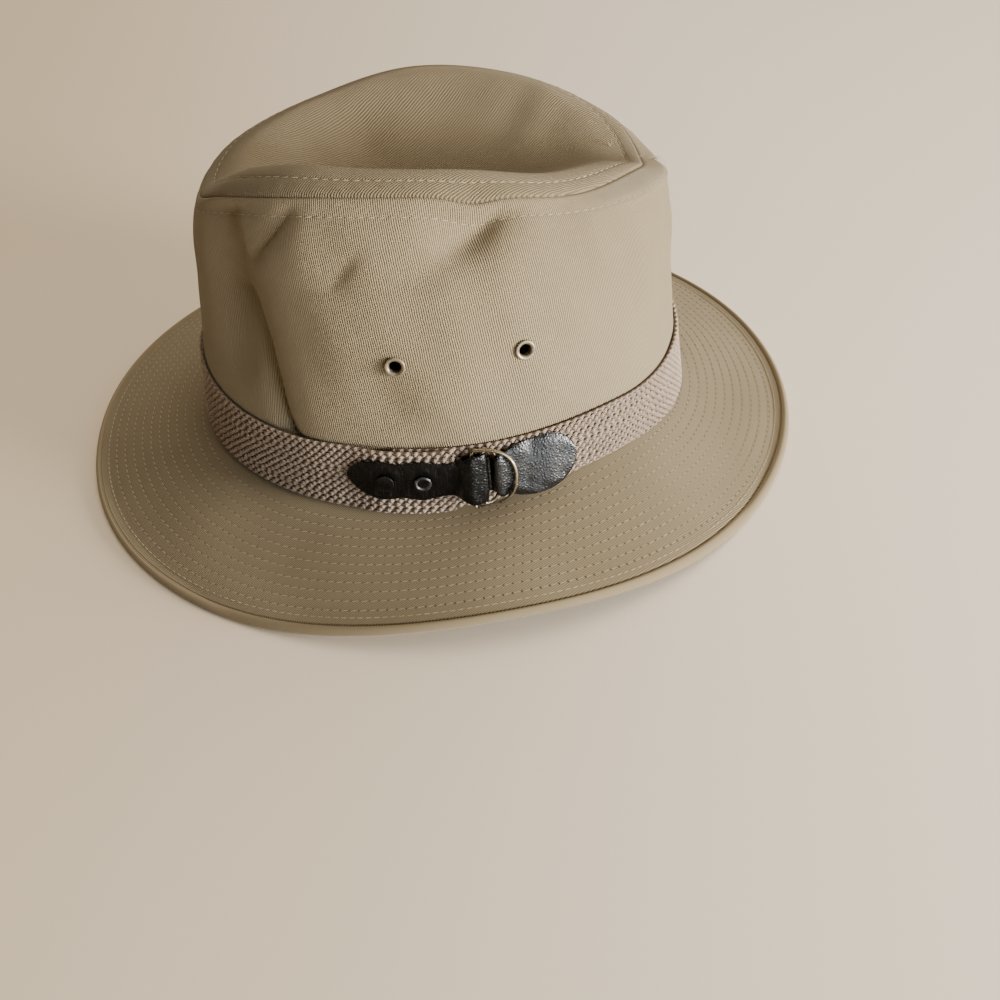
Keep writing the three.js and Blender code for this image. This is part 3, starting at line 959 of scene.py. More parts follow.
# rows of the section that belong to the groove, and how far it reaches into the flat cloth
HEM_GROOVE = 5
GROOVE_REACH = 0.12


def hem_lift(angle, row):
    """Height of the hem's section; the groove beside it is shallow round the front."""
    groove = (row < HEM_GROOVE) * (0.78 * ease(np.abs(turn_from(angle, 150)), 105, 60))
    pressed_flat = (row >= HEM_GROOVE) * (0.2 * ease(np.abs(turn_from(angle, 165)), 80, 45))
    return HEM[row, 1] * (1 - groove - pressed_flat) + 2.3 * groove


def brim():
    """The brim: out over its top, round the hem, back along its underside and up its inner edge."""
    top, below = 104, 40
    on_top, on_hem, underneath, inner = range(4)
    counts = (top, len(HEM), below, 1)
    kinds = np.repeat((on_top, on_hem, underneath, inner), counts)
    values = np.concatenate([np.linspace(1, 0, top), np.arange(len(HEM)), np.linspace(0, 1, below), [0]])

    def stations(u, v):
        angle, kind, value = u * 360, pick(kinds, v), pick(values, v)
        width, groove = brim_width(angle), hem_inset(angle)
        row = np.clip(value, 0, len(HEM) - 1).astype(int)
        flat_from = groove * (1 + GROOVE_REACH)
        under_from = groove * GROOVE_REACH
        inset = np.select(
            [kind == on_top, kind == on_hem, kind == underneath],
            [
                flat_from + (width - flat_from) * value,
                groove * (1 - HEM[row, 0]),
                under_from + (width - under_from) * value,
            ],
            width,
        )
        return angle, kind, row, inset

    def shape(u, v):
        angle, kind, row, inset = stations(u, v)
        relief = brim_relief(inset)
        lift = np.select(
            [kind == on_hem, kind == underneath],
            [hem_lift(angle, row), -0.7 * relief * ease(inset, 9, 12)],
            BRIM_THICK + relief,
        )
        points = brim_point(angle, inset, lift)
        points[:, 2] += brim_sway(angle, inset, points[:, 2] - lift)
        points[:, 2] = np.maximum(points[:, 2], 0)
        return points

    def flat(u, v, points):
        return points[:, :2]

    def rows_map(u, v, points):
        angle, _, _, inset = stations(u, v)
        groove = hem_inset(angle)
        beyond = HEM_MAP + (inset - groove) * (BRIM_ROW_FIRST - HEM_MAP) / (BRIM_ROW_FIRST - groove)
        level = np.where(inset < groove, HEM_MAP * inset / groove, np.where(inset < BRIM_ROW_FIRST, beyond, inset))
        row = np.clip(np.round((inset - BRIM_ROW_FIRST) / BRIM_ROW_STEP), 0, BRIM_ROWS - 1)
        return np.stack([row_arc(angle, BRIM_ROW_FIRST + row * BRIM_ROW_STEP) / STITCH, level], -1)

    return panel("brim_twill", 420, len(kinds) - 1, shape, flat, rows_map)


# spacing of the table of lengths round the brim: insets in millimetres, and angles in a degree
ARC_INSETS = 2.0
ARC_ANGLES = 2


def arc_table():
    """Length round the brim from the back, by inset and angle."""
    angles = np.linspace(0, 360, 360 * ARC_ANGLES + 1)
    rows = []
    for inset in np.arange(0, 57, ARC_INSETS):
        line = brim_point(angles, np.full(len(angles), inset), np.zeros(len(angles)))[:, :2]
        steps = np.linalg.norm(np.diff(line, axis=0), axis=1)
        rows.append(np.concatenate([[0], np.cumsum(steps)]))
    return np.array(rows)


ARCS = arc_table()


def row_arc(angle, inset):
    """Distance round a stitch row from the back of the hat."""
    row = np.clip(inset / ARC_INSETS, 0, len(ARCS) - 1.001)
    column = np.clip(angle * ARC_ANGLES, 0, ARCS.shape[1] - 1.001)
    i, j = row.astype(int), column.astype(int)
    f, g = row - i, column - j
    near = ARCS[i, j] * (1 - g) + ARCS[i, j + 1] * g
    far = ARCS[i + 1, j] * (1 - g) + ARCS[i + 1, j + 1] * g
    return near * (1 - f) + far * f


# Stitches

# offsets of the free threads from the end of the seam and from the top panel
SEAM_TUFT = (
    ((-0.4, 0.0, -0.2), (2.2, -0.6, 0.5), (4.6, -1.2, -1.6), (6.2, -1.8, -5.2)),
    ((-0.4, 0.3, -0.2), (1.8, -0.2, 1.1), (3.8, -0.6, 0.6), (5.2, -1.2, -1.8)),
    ((-0.4, -0.4, -0.2), (1.6, -1.6, -0.2), (3.2, -2.4, -2.4), (3.6, -2.8, -4.6)),
)
PANEL_THREAD = (
    ((0.0, 0.0, -0.2), (-0.5, -0.3, 0.9), (-0.9, -0.5, 2.2)),
    ((0.0, 0.0, -0.2), (0.5, 0.0, 1.2), (0.7, 0.3, 2.8)),
)


def stitch_form():
    """One stitch of thread: its points, 1 long and 1 wide, and its faces."""
    bpy.ops.object.select_all(action="DESELECT")
    bpy.ops.mesh.primitive_uv_sphere_add(segments=6, ring_count=4, radius=0.5)
    stitch = bpy.context.object
    bpy.ops.object.mode_set(mode="EDIT")
    bpy.ops.mesh.select_all(action="SELECT")
    bpy.ops.transform.rotate(value=math.pi / 2, orient_axis="Y", center_override=(0, 0, 0))
    bpy.ops.object.mode_set(mode="OBJECT")
    points = vertex_places(stitch.data)
    faces = [tuple(face.vertices) for face in stitch.data.polygons]
    bpy.data.objects.remove(stitch)
    return points, faces


STITCH_POINTS, STITCH_FACES = stitch_form()
# points in which the length of a row is measured
ROW_POINTS = 1441


def sew(name, middles, forwards, ups, length, width, height, slant):
    """Many stitches in one piece, each lying along its row at a slant."""
    count, size = len(middles), len(STITCH_POINTS)
    sides = unit(np.cross(ups, forwards))
    forwards = unit(forwards) * math.cos(slant) + sides * math.sin(slant)
    sides = unit(np.cross(ups, forwards))
    x, y, z = (STITCH_POINTS[:, i][None, :, None] for i in range(3))
    points = (
        middles[:, None, :]
        + forwards[:, None, :] * x * length
        + sides[:, None, :] * y * width
        + ups[:, None, :] * z * height
    )
    faces = [tuple(i + n * size for i in face) for n in range(count) for face in STITCH_FACES]
    mesh = bpy.data.meshes.new(name)
    mesh.from_pydata((points.reshape(-1, 3) * MM).tolist(), [], faces)
    piece = bpy.data.objects.new(name, mesh)
    bpy.context.scene.collection.objects.link(piece)
    select_only(piece)
    bpy.ops.object.mode_set(mode="EDIT")
    bpy.ops.mesh.select_all(action="SELECT")
    bpy.ops.mesh.normals_make_consistent(inside=False)
    bpy.ops.object.mode_set(mode="OBJECT")
    bpy.ops.object.shade_smooth()
    return piece


def along_row(surface, pitch):
    """Angles of the stitches of one pitch along a row right round the hat."""
    angles = np.linspace(0, 360, ROW_POINTS)
    line = surface(angles)
    arc = np.concatenate([[0], np.cumsum(np.linalg.norm(np.diff(line, axis=0), axis=1))])
    places = (np.arange(int(arc[-1] / pitch)) + 0.5) * pitch
    return np.interp(places, arc, angles)


def row_frames(surface, angles, aside):
    """Middles, directions and normals of stitches; aside is a line beside the row, on the same cloth."""
    middle = surface(angles)
    forward = unit(surface(angles + 0.2) - surface(angles - 0.2))
    across = aside(angles) - middle
    up = unit(np.cross(forward, across))
    return middle, forward, up


def joined(parts):
    """Lists of arrays, put end to end column by column."""
    return tuple(np.concatenate(column) for column in zip(*parts))


def brim_stitches():
    """The rows of stitching on the brim, in step with its needle holes."""
    rows = []
    for k in range(BRIM_ROWS):
        inset = BRIM_ROW_FIRST + BRIM_ROW_STEP * k

        def line(angle, inset=inset):
            return brim_top(np.mod(angle, 360), np.full(len(angle), inset))

        def aside(angle, inset=inset):
            level = np.full(len(angle), BRIM_THICK - 0.2)
            return brim_point(np.mod(angle, 360), np.full(len(angle), inset + 4.0), level)

        grid = np.linspace(0, 360, ROW_POINTS)
        arc = row_arc(grid, np.full(len(grid), inset))
        angles = np.interp((np.arange(int(arc[-1] / STITCH)) + 0.5) * STITCH, arc, grid)
        middle, forward, up = row_frames(line, angles, aside)
        rows.append((middle + up * BRIM_STITCH_UP, forward, up))
    return sew("brim_stitching", *joined(rows), *BRIM_STITCH)


def edge_stitches():
    """The row of stitching beside the hem, which follows its width."""

    def line(angle, beyond=4.6):
        angle = np.mod(angle, 360)
        return brim_top(angle, hem_inset(angle) * 0.45 + beyond)

    def aside(angle):
        return line(angle, 5.6)

    middle, forward, up = row_frames(line, along_row(line, HEM_PITCH), aside)
    return sew("hem_stitching", middle + up * HEM_STITCH_UP, forward, up, *HEM_STITCH)


def seam_stitches():
    """The rows of stitching on both sides of the tip seam."""
    rows = []
    low = 1 - SEAM_ROW / SEAM_SPAN
    inward = TIP_ROW / TIP_SPAN

    def wall_line(angle):
        return on_crown(wall_skin(angle, np.full(len(angle), low)))

    def wall_aside(angle):
        return on_crown(wall_form(angle, np.full(len(angle), low + 0.02)))

    def tip_line(angle):
        return on_crown(tip_skin(angle, np.full(len(angle), inward)))

    def tip_aside(angle):
        return on_crown(tip_skin(angle, np.full(len(angle), inward + 0.02)))

    for line, aside in ((wall_line, wall_aside), (tip_line, tip_aside)):
        middle, forward, up = row_frames(line, along_row(line, STITCH), aside)
        rows.append((middle + up * SEAM_STITCH_UP, forward, up))
    return sew("seam_stitching", *joined(rows), *SEAM_STITCH)


def thread_end(name, start, way, radius=0.2):
    """A free end of sewing thread: a tapered line that leaves its stitch along a table of offsets."""
    table = np.asarray(way, float)
    at = np.arange(len(table)) / (len(table) - 1)

    def shape(u, v):
        middle, ahead, behind = (
            start + np.stack([through(at, table[:, column], np.clip(u + step, 0, 1)) for column in range(3)], -1)
            for step in (0, 0.02, -0.02)
        )
        forward = unit(ahead - behind)
        side = unit(np.cross(forward, [0.3, 0.2, 0.93]))
        lift = np.cross(side, forward)
        turn = v * 2 * np.pi
        wide = (radius * (1 - 0.5 * u))[:, None]
        points = middle + wide * (side * np.cos(turn)[:, None] + lift * np.sin(turn)[:, None])
        return end_caps(u, points, middle)

    def flat(u, v, points):
        return np.stack([u * 9, v], -1)

    return panel(name, 24, 6, shape, flat)


def thread_ends():
    """Free threads where the back seam meets the tip seam, and a pair in the top panel."""
    seam = on_crown(wall_skin(np.array([358.0]), np.array([0.978])))[0]
    panel_at = on_crown(tip_skin(np.array([8.0]), np.array([0.13])))[0]
    ways = [(seam, way) for way in SEAM_TUFT] + [(panel_at, way) for way in PANEL_THREAD]
    ends = [thread_end(f"thread_end_{number}", start, way) for number, (start, way) in enumerate(ways)]
    return one_piece(ends, "thread_ends")


# Woven band


def band_lengths():
    """Angles round the hat, and the length along the band at each, from the middle of the strap side."""
    angles = np.arange(-120, 760, 0.25)
    share = share_at(angles, strap_height(angles))
    points = wall_base(angles, share)
    arc = np.concatenate([[0], np.cumsum(np.linalg.norm(np.diff(points, axis=0), axis=1))])
    return angles, arc - np.interp(270, angles, arc)


BAND_ANGLES, BAND_ARC = band_lengths()
BAND_ROUND = float(np.interp(630, BAND_ANGLES, BAND_ARC))
BAND_REACH = BAND_ROUND + BAND_END - BAND_START


def angle_at(along):
    return np.interp(along, BAND_ARC, BAND_ANGLES)


def band_point(along, height, out):
    """A point of the band, out from its inner face; its far end laps over its start."""
    end = BAND_ROUND + BAND_END
    lift = lap_lift(along - BAND_ROUND)
    curl = ease(along, end - 10, end - 1) * ease(height, 24, BAND_TOP)
    angle = angle_at(along)
    height = height + 1.7 * curl + band_sway(angle) * ease(height, 6, 28)
    return on_crown(off_wall(angle, height, GAP + lift + out + 1.4 * curl))


def band_foot(along):
    return root_rise(angle_at(along)) + 2 * GAP


def end_caps(u, points, middles):
    """Draws the first and last column of a strip to its middle, which closes its ends."""
    ends = (u < 1e-6) | (u > 1 - 1e-6)
    points[ends] = middles[ends]
    return points


def band_backing():
    """The dark ground behind the band's yarns; its dark colour is painted shade in the gaps between them."""
    rows = np.array(
        [
            (0.0, 0.05),
            (0.0, 0.0),
            (0.5, 0.0),
            (1.0, 0.0),
            (1.0, 0.4),
            (0.98, 0.6),
            (0.5, 0.62),
            (0.02, 0.6),
            (0.0, 0.4),
            (0.0, 0.05),
        ]
    )

    def shape(u, v):
        along = BAND_START + u * BAND_REACH
        row = pick(rows, v)
        foot, top = band_foot(along), BAND_TOP - 0.5
        points = band_point(along, foot + (top - foot) * row[:, 0], row[:, 1])
        return end_caps(u, points, band_point(along, (foot + top) / 2, np.full(len(u), 0.3)))

    def flat(u, v, points):
        return np.stack([u * BAND_REACH, pick(rows, v)[:, 0] * 30], -1)

    return panel("band_backing", 360, len(rows) - 1, shape, flat)


def weave_turn(place, number):
    """Waves of a yarn passed at a place along the band, a little uneven from row to row."""
    drift = 0.3 * np.sin(number * 2.4)
    drift = drift + 0.20 * np.sin(place * 0.043 + number * 1.7) + 0.12 * np.sin(place * 0.117 + number * 2.9)
    return (place + WEAVE_SHIFT * number + drift) / WEAVE_WAVE


def yarn_path(place, number):
    """Rise, stand-off and half width of a yarn that swells over the band and dives between its bumps."""
    turn = 2 * np.pi * weave_turn(place, number)
    size = 1 + 0.16 * np.sin(place * 0.61 + number * 2.3) + 0.1 * np.sin(place * 1.7 + number)
    stand = YARN_STAND[0] + YARN_STAND[1] * np.cos(turn)
    wide = YARN_WIDE[0] + YARN_WIDE[1] * size * np.cos(turn)
    return YARN_RISE * size * np.sin(turn + 0.3), stand, wide


def band_yarn(name, number, height):
    """One yarn of the band, run along it at a height."""
    reach = BAND_REACH - 0.6
    columns = int(reach / WEAVE_WAVE) * YARN_STEPS

    def shape(u, v):
        place = u * reach
        rise, stand, wide = yarn_path(place, number)
        slope = (yarn_path(place + 0.08, number)[0] - yarn_path(place - 0.08, number)[0]) / 0.16
        lean = np.sqrt(1 + slope**2)
        turn = v * 2 * np.pi
        offset = wide * np.cos(turn)
        along = BAND_START + 0.3 + place - offset * slope / lean
        foot = band_foot(along) + 0.4
        tall = height + rise + offset / lean
        buried = ease(foot - tall, 0, 0.8)
        out = (stand + YARN_THICK * np.sin(turn)) * (1 - buried) + 0.35 * buried
        points = band_point(along, np.clip(tall, foot, BAND_TOP), out)
        level = np.clip(height + rise, foot, BAND_TOP - 0.4)
        return end_caps(u, points, band_point(along, level, stand))

    def flat(u, v, points):
        return np.stack([u * reach + number * 37.0, v * 4.4], -1)

    return panel(f"{name}_{number}", columns, YARN_SIDES, shape, flat)


def band_webbing():
    """The rows of yarn, as two pieces: the upper and the lower half of the band."""
    rows = list(enumerate(np.arange(BAND_TOP - 0.85, 0.8, -WEAVE_ROW)))
    half = len(rows) // 2
    for name, some in (("band_webbing_upper", rows[:half]), ("band_webbing_lower", rows[half:])):
        yield one_piece([band_yarn(name, number, height) for number, height in some], name)


# Leather strap


def strap_strip(name, table, lapped, relief):
    """A leather strip bent along its table, with rounded edges; relief is the work on its outer face."""
    steps = np.hypot(np.diff(table[:, 0]), np.diff(table[:, 1]))
    at = np.concatenate([[0], np.cumsum(steps)])
    columns = int(at[-1] / 0.3)
    loop = np.linspace(0, 2 * np.pi, 97)

    def shape(u, v):
        s = u * at[-1]
        along, out, half = (through(at, table[:, column], s) for column in range(3))
        ahead, behind = np.minimum(s + 0.1, at[-1]), np.maximum(s - 0.1, 0)
        run_along = through(at, table[:, 0], ahead) - through(at, table[:, 0], behind)
        run_out = through(at, table[:, 1], ahead) - through(at, table[:, 1], behind)
        size = np.hypot(run_along, run_out)
        run_along, run_out = run_along / size, run_out / size
        turn = pick(loop, v)
        c, d = np.cos(turn), np.sin(turn)
        across = np.sign(c) * np.abs(c) ** 0.35
        level = 0.5 * LEATHER * np.sign(d) * np.abs(d) ** 0.6
        level = level * (1 - 0.35 * np.abs(across) ** 6)
        face = ease(d, -0.1, 0.3)
        level = level + face * relief(along, across * half, across, s)
        sag = lap_lift(along) - lap_lift(LAP_TO) if lapped else 0.0
        hang = ring_lean(along, across * half) * (1 if lapped else 1 + 0.4 * ease(along, 9, 20))
        middle = ROLL_RISE * ease(along, -10, -5) if lapped else TAB_RISE * ease(along, 20, 34)
        points = on_crown(
            beside_band(along - run_out * level, middle + across * half, out + sag + hang + run_along * level)
        )
        return end_caps(u, points, on_crown(beside_band(along, middle, out + sag + ring_lean(along, 0))))

    def flat(u, v, points):
        turn = pick(loop, v)
        return np.stack([u * at[-1], np.cos(turn) * 9 + 20 * (np.sin(turn) < 0)], -1)

    return panel(name, columns, len(loop) - 1, shape, flat)


def pebbles(along, up):
    """Uneven grain of pressed leather, about a millimetre and a half across."""
    a = along + 0.35 * np.sin(1.9 * up + 0.7 * along)
    b = up + 0.3 * np.sin(2.3 * along - 1.1 * up)
    fine = np.sin(7.3 * a - 2.2 * b) * np.sin(6.1 * b + 1.7 * a + 1)
    return np.sin(4.1 * a + 1.3 * b) * np.sin(3.7 * b - 0.9 * a) + 0.5 * fine


def front_relief(along, up, across, s):
    """Dishes round the rivets, hairline creases, the pinch before the roll and the roll's swell."""
    work = 0.0
    for rivet in RIVETS_ALONG:
        away = np.hypot(along - rivet, up)
        work = work - 0.28 * np.exp(-((away / 3.9) ** 4)) + 0.2 * np.exp(-(((away - 5.0) / 1.0) ** 2))
    outer = 1 - ease(s, 48, 51)
    for at, lean, wide, deep, low, high in STRAP_CREASES:
        bend = along - at - lean * up - 0.3 * np.sin(0.9 * up + at)
        ends = ease(up, low - 1, low + 1) * (1 - ease(up, high - 1, high + 1))
        work = work - outer * deep * ends * np.exp(-((bend / wide) ** 2))
    work = work - outer * 0.35 * np.exp(-(((along + 9.3) / 1.3) ** 2))
    work = work + outer * 1.0 * np.exp(-(((along + 4.2) / 2.3) ** 2))
    work = work + 0.012 * pebbles(along, up)
    return work + 0.10 * np.sin(along * 0.9 + up * 0.35) * np.cos(up * 0.7 + along * 0.2)


def back_relief(along, up, across, s):
    """Slack waves of the loose tab and its pinch behind the ring."""
    wave = 0.16 * np.sin(along * 0.55 + 0.4 * up) * np.cos(0.45 * up)
    pinch = -0.25 * np.exp(-(((along - 17.0 - 0.25 * up) / 2.2) ** 2))
    raised = 0.25 * np.exp(-(((along - 24.0 + 0.2 * up) / 4.0) ** 2)) * (1 - np.abs(across) ** 2)
    edge = -0.18 * np.abs(across) ** 8
    return wave + pinch + raised + edge + 0.014 * pebbles(along, up)


def polish_end(strap, material, start):
    """Gives the part of a strap beyond a length along it the handled, shinier leather."""
    mesh = strap.data
    mesh.materials.append(material)
    places = mesh.uv_layers["cloth"].data
    for face in mesh.polygons:
        face.material_index = int(min(places[corner].uv[0] for corner in face.loop_indices) > start)


# Metal


def wire_ring(name, bar, bow, half, bar_out, bow_out):
    """A D-ring of bent wire: a closed line laid on the band, swept with a round section."""
    turn = np.linspace(0, 2 * np.pi, 721)
    c, s = np.cos(turn), np.sin(turn)
    power = np.where(c < 0, 6.0, 2.4)
    middle = bar + 2.0
    along = middle + np.sign(c) * np.abs(c) ** (2 / power) * np.where(c < 0, 2.0, bow - middle)
    up = half * np.sign(s) * np.abs(s) ** (2 / power)
    arc = np.concatenate([[0], np.cumsum(np.hypot(np.diff(along), np.diff(up)))])
    count = 112
    even = np.linspace(0, arc[-1], count, endpoint=False)
    along, up = np.interp(even, arc, along), np.interp(even, arc, up)
    out = bar_out + (along - bar) / (bow - bar) * (bow_out - bar_out) + ring_lean(along, up)
    bpy.ops.object.select_all(action="DESELECT")
    bpy.ops.mesh.primitive_circle_add(vertices=count, radius=0.01)
    ring = bpy.context.object
    ring.name = ring.data.name = name + "_wire"
    set_places(ring.data, on_crown(beside_band(along, up, out)) * MM)
    bpy.ops.object.convert(target="CURVE")
    ring = bpy.context.object
    ring.data.bevel_depth = 0.5 * WIRE * MM
    ring.data.bevel_resolution = 4
    bpy.ops.object.convert(target="MESH")
    ring = bpy.context.object
    close_seams(ring)
    return ring


def stand_on(piece, point, normal):
    """Puts an upright piece on a point, its axis along the normal there."""
    piece.matrix_world = Matrix.Translation(point) @ normal.to_track_quat("Z", "Y").to_matrix().to_4x4()
    select_only(piece)
    bpy.ops.object.transform_apply(location=True, rotation=True, scale=True)


# radius and thickness of a rivet's disc, then the insets of its top and how far each is raised
RIVET_RADIUS = 3.2
RIVET_THICK = 0.7
RIVET_TOP = ((0.42, 0.3), (0.16, 0.0), (0.5, -0.42), (0.8, 0.05), (0.7, 0.0))


def cap_rivet(name, along):
    """A black cap rivet: a disc with a raised rim and a dished middle."""
    bpy.ops.object.select_all(action="DESELECT")
    bpy.ops.mesh.primitive_cylinder_add(
        vertices=56, radius=RIVET_RADIUS * MM, depth=RIVET_THICK * MM, location=(0, 0, RIVET_THICK / 2 * MM)
    )
    rivet = bpy.context.object
    rivet.name = rivet.data.name = name
    bpy.ops.object.transform_apply(location=True, rotation=True, scale=True)
    for face in rivet.data.polygons:
        face.select = face.normal.z > 0.9
    bpy.ops.object.mode_set(mode="EDIT")
    bpy.ops.mesh.select_mode(type="FACE")
    for inset, rise in RIVET_TOP:
        bpy.ops.mesh.inset(thickness=inset * MM)
        bpy.ops.transform.translate(value=(0, 0, rise * MM))
    bpy.ops.mesh.select_all(action="SELECT")
    bpy.ops.object.mode_set(mode="OBJECT")
    soft = rivet.modifiers.new("pressed_edges", "BEVEL")
    soft.width = 0.09 * MM
    soft.segments = 3
    soft.limit_method = "ANGLE"
    soft.angle_limit = math.radians(12)
    select_only(rivet)
    bpy.ops.object.modifier_apply(modifier=soft.name)
    foot = on_crown(beside_band(np.array([along]), np.array([0.0]), np.array([RIVET_OUT])))[0]
    tip = on_crown(beside_band(np.array([along]), np.array([0.0]), np.array([RIVET_OUT + 1])))[0]
    stand_on(rivet, Vector(foot * MM), Vector(tip - foot).normalized())
    bpy.ops.object.shade_smooth_by_angle(angle=math.radians(40))
    return rivet


def rubbed_and_highlit_rim(rivet, material):
    """Gives the slopes of a rivet's rim their own lighter finish: paint rubbed thin there, and also a painted
    highlight on the rim.
    """
    mesh = rivet.data
    mesh.materials.append(material)
    axis = -max(mesh.polygons, key=lambda face: face.area).normal
    for face in mesh.polygons:
        face.material_index = int(0.3 < face.normal.dot(axis) < 0.96)


# radius and height of an eyelet's section, from its throat down the barrel and over the rim
EYELET_SECTION = (
    (2.2, 0.3), (2.2, -0.8), (2.2, -1.95), (2.35, -2.12), (3.05, -2.1), (3.2, -1.92), (3.05, -1.75), (2.6, -1.7),
    (2.55, -0.6), (2.55, 0.2), (3.35, 0.28), (3.62, 0.38), (3.68, 0.55), (3.58, 0.76), (3.34, 0.9), (3.0, 0.9),
    (2.65, 0.78), (2.35, 0.58),
)


def clinched_eyelet(name, point, normal):
    """A metal eyelet: its section, spun round its axis and set in its hole."""
    count = len(EYELET_SECTION)
    bpy.ops.object.select_all(action="DESELECT")
    bpy.ops.mesh.primitive_circle_add(vertices=count, radius=0.01)
    eyelet = bpy.context.object
    eyelet.name = eyelet.data.name = name
    set_places(eyelet.data, np.array([(radius, 0, height) for radius, height in EYELET_SECTION]) * MM)
    bpy.ops.object.mode_set(mode="EDIT")
    bpy.ops.mesh.select_all(action="SELECT")
    bpy.ops.mesh.spin(steps=44, angle=2 * math.pi, center=(0, 0, 0), axis=(0, 0, 1))
    bpy.ops.object.mode_set(mode="OBJECT")
    close_seams(eyelet, 1e-5)
    stand_on(eyelet, point, normal)
    bpy.ops.object.shade_smooth_by_angle(angle=math.radians(50))
    return eyelet


# Finishes


def put(tree, socket, value):
    if isinstance(value, bpy.types.NodeSocket):
        tree.links.new(value, socket)
    else:
        socket.default_value = value


def maths(tree, operation, *values):
    node = tree.nodes.new("ShaderNodeMath")
    node.operation = operation
    for socket, value in zip(node.inputs, values):
        put(tree, socket, value)
    return node.outputs[0]


def times(tree, first, second):
    return maths(tree, "MULTIPLY", first, second)


def plus(tree, first, second):
    return maths(tree, "ADD", first, second)


def ramp(tree, value, low, high, first=0.0, last=1.0):
    """A soft step from first at low to last at high."""
    node = tree.nodes.new("ShaderNodeMapRange")
    node.interpolation_type = "SMOOTHSTEP"
    for name, given in zip(("Value", "From Min", "From Max", "To Min", "To Max"), (value, low, high, first, last)):
        put(tree, node.inputs[name], given)
    return node.outputs["Result"]


def noise(tree, vector, scale, detail=2.0, roughness=0.5):
    node = tree.nodes.new("ShaderNodeTexNoise")
    put(tree, node.inputs["Vector"], vector)
    put(tree, node.inputs["Scale"], scale)
    put(tree, node.inputs["Detail"], detail)
    put(tree, node.inputs["Roughness"], roughness)
    return node.outputs["Fac"]


def tinted(tree, factor, first, second):
    """The first colour, turned into the second by a factor; the sockets of a colour mix go by number."""
    node = tree.nodes.new("ShaderNodeMix")
    node.data_type = "RGBA"
    put(tree, node.inputs[0], factor)
    put(tree, node.inputs[6], first)
    put(tree, node.inputs[7], second)
    return node.outputs[2]


def stretched(tree, vector, scale):
    node = tree.nodes.new("ShaderNodeVectorMath")
    node.operation = "MULTIPLY"
    put(tree, node.inputs[0], vector)
    node.inputs[1].default_value = scale
    return node.outputs[0]


def new_group(name, inputs, outputs):
    group = bpy.data.node_groups.new(name, "ShaderNodeTree")
    for label, kind, value in inputs:
        socket = group.interface.new_socket(label, in_out="INPUT", socket_type="NodeSocket" + kind)
        socket.default_value = value
    for label, kind in outputs:
        group.interface.new_socket(label, in_out="OUTPUT", socket_type="NodeSocket" + kind)
    return group, group.nodes.new("NodeGroupInput"), group.nodes.new("NodeGroupOutput")


def place_group(tree, group, **values):
    node = tree.nodes.new("ShaderNodeGroup")
    node.node_tree = group
    for name, value in values.items():
        put(tree, node.inputs[name.replace("_", " ").capitalize()], value)
    return node.outputs


def weave_group():
    """Diagonal ridges of a twill, drawn on the flat cloth in millimetres."""
    group, start, end = new_group(
        "twill_weave",
        [("Cloth", "Vector", (0, 0, 0)), ("Pitch", "Float", 1.2), ("Lean", "Float", 0.0)],
        [("Height", "Float"), ("Furrow shade", "Float"), ("Yarn", "Float")],
    )
    turn = group.nodes.new("ShaderNodeVectorRotate")
    turn.rotation_type = "Z_AXIS"
    put(group, turn.inputs["Vector"], start.outputs["Cloth"])
    put(group, turn.inputs["Angle"], start.outputs["Lean"])
    split = group.nodes.new("ShaderNodeSeparateXYZ")
    put(group, split.inputs[0], turn.outputs[0])
    drift = times(group, maths(group, "SUBTRACT", noise(group, turn.outputs[0], 0.22, 3.0), 0.5), 0.9)
    across = plus(group, maths(group, "DIVIDE", split.outputs[0], start.outputs["Pitch"]), drift)
    along = maths(group, "DIVIDE", split.outputs[1], start.outputs["Pitch"])
    wale = maths(group, "FLOOR", across)
    swing = maths(group, "SINE", times(group, across, 2 * math.pi))
    ridge = maths(group, "MULTIPLY_ADD", swing, 0.5, 0.5)
    steps = plus(group, times(group, along, 1.3), times(group, wale, 0.37))
    bead = maths(group, "SINE", times(group, steps, 2 * math.pi))
    bead = maths(group, "MULTIPLY_ADD", bead, 0.18, 0.82)
    put(group, end.inputs["Height"], times(group, ridge, bead))
    # the furrows, which the twill's colour darkens as painted shade
    put(group, end.inputs["Furrow shade"], ramp(group, ridge, 0.5, 0.05))
    chance = group.nodes.new("ShaderNodeTexWhiteNoise")
    chance.noise_dimensions = "1D"
    put(group, chance.inputs["W"], wale)
    fibre = noise(group, stretched(group, turn.outputs[0], (0.9, 0.12, 1)), 1.0, 3.0, 0.6)
    yarn = maths(group, "MULTIPLY_ADD", chance.outputs["Value"], 0.35, times(group, fibre, 0.65))
    put(group, end.inputs["Yarn"], yarn)
    return group


def wear_group():
    """Slow fading and handling marks over a piece, by its place on the hat."""
    group, start, end = new_group(
        "handling",
        [("Place", "Vector", (0, 0, 0)), ("Size", "Float", 14.0)],
        [("Fade", "Float"), ("Soil", "Float")],
    )
    fade = noise(group, start.outputs["Place"], start.outputs["Size"], 4.0, 0.55)
    put(group, end.inputs["Fade"], ramp(group, fade, 0.3, 0.7))
    soil = noise(group, start.outputs["Place"], times(group, start.outputs["Size"], 2.7), 5.0, 0.6)
    put(group, end.inputs["Soil"], ramp(group, soil, 0.55, 0.8))
    return group


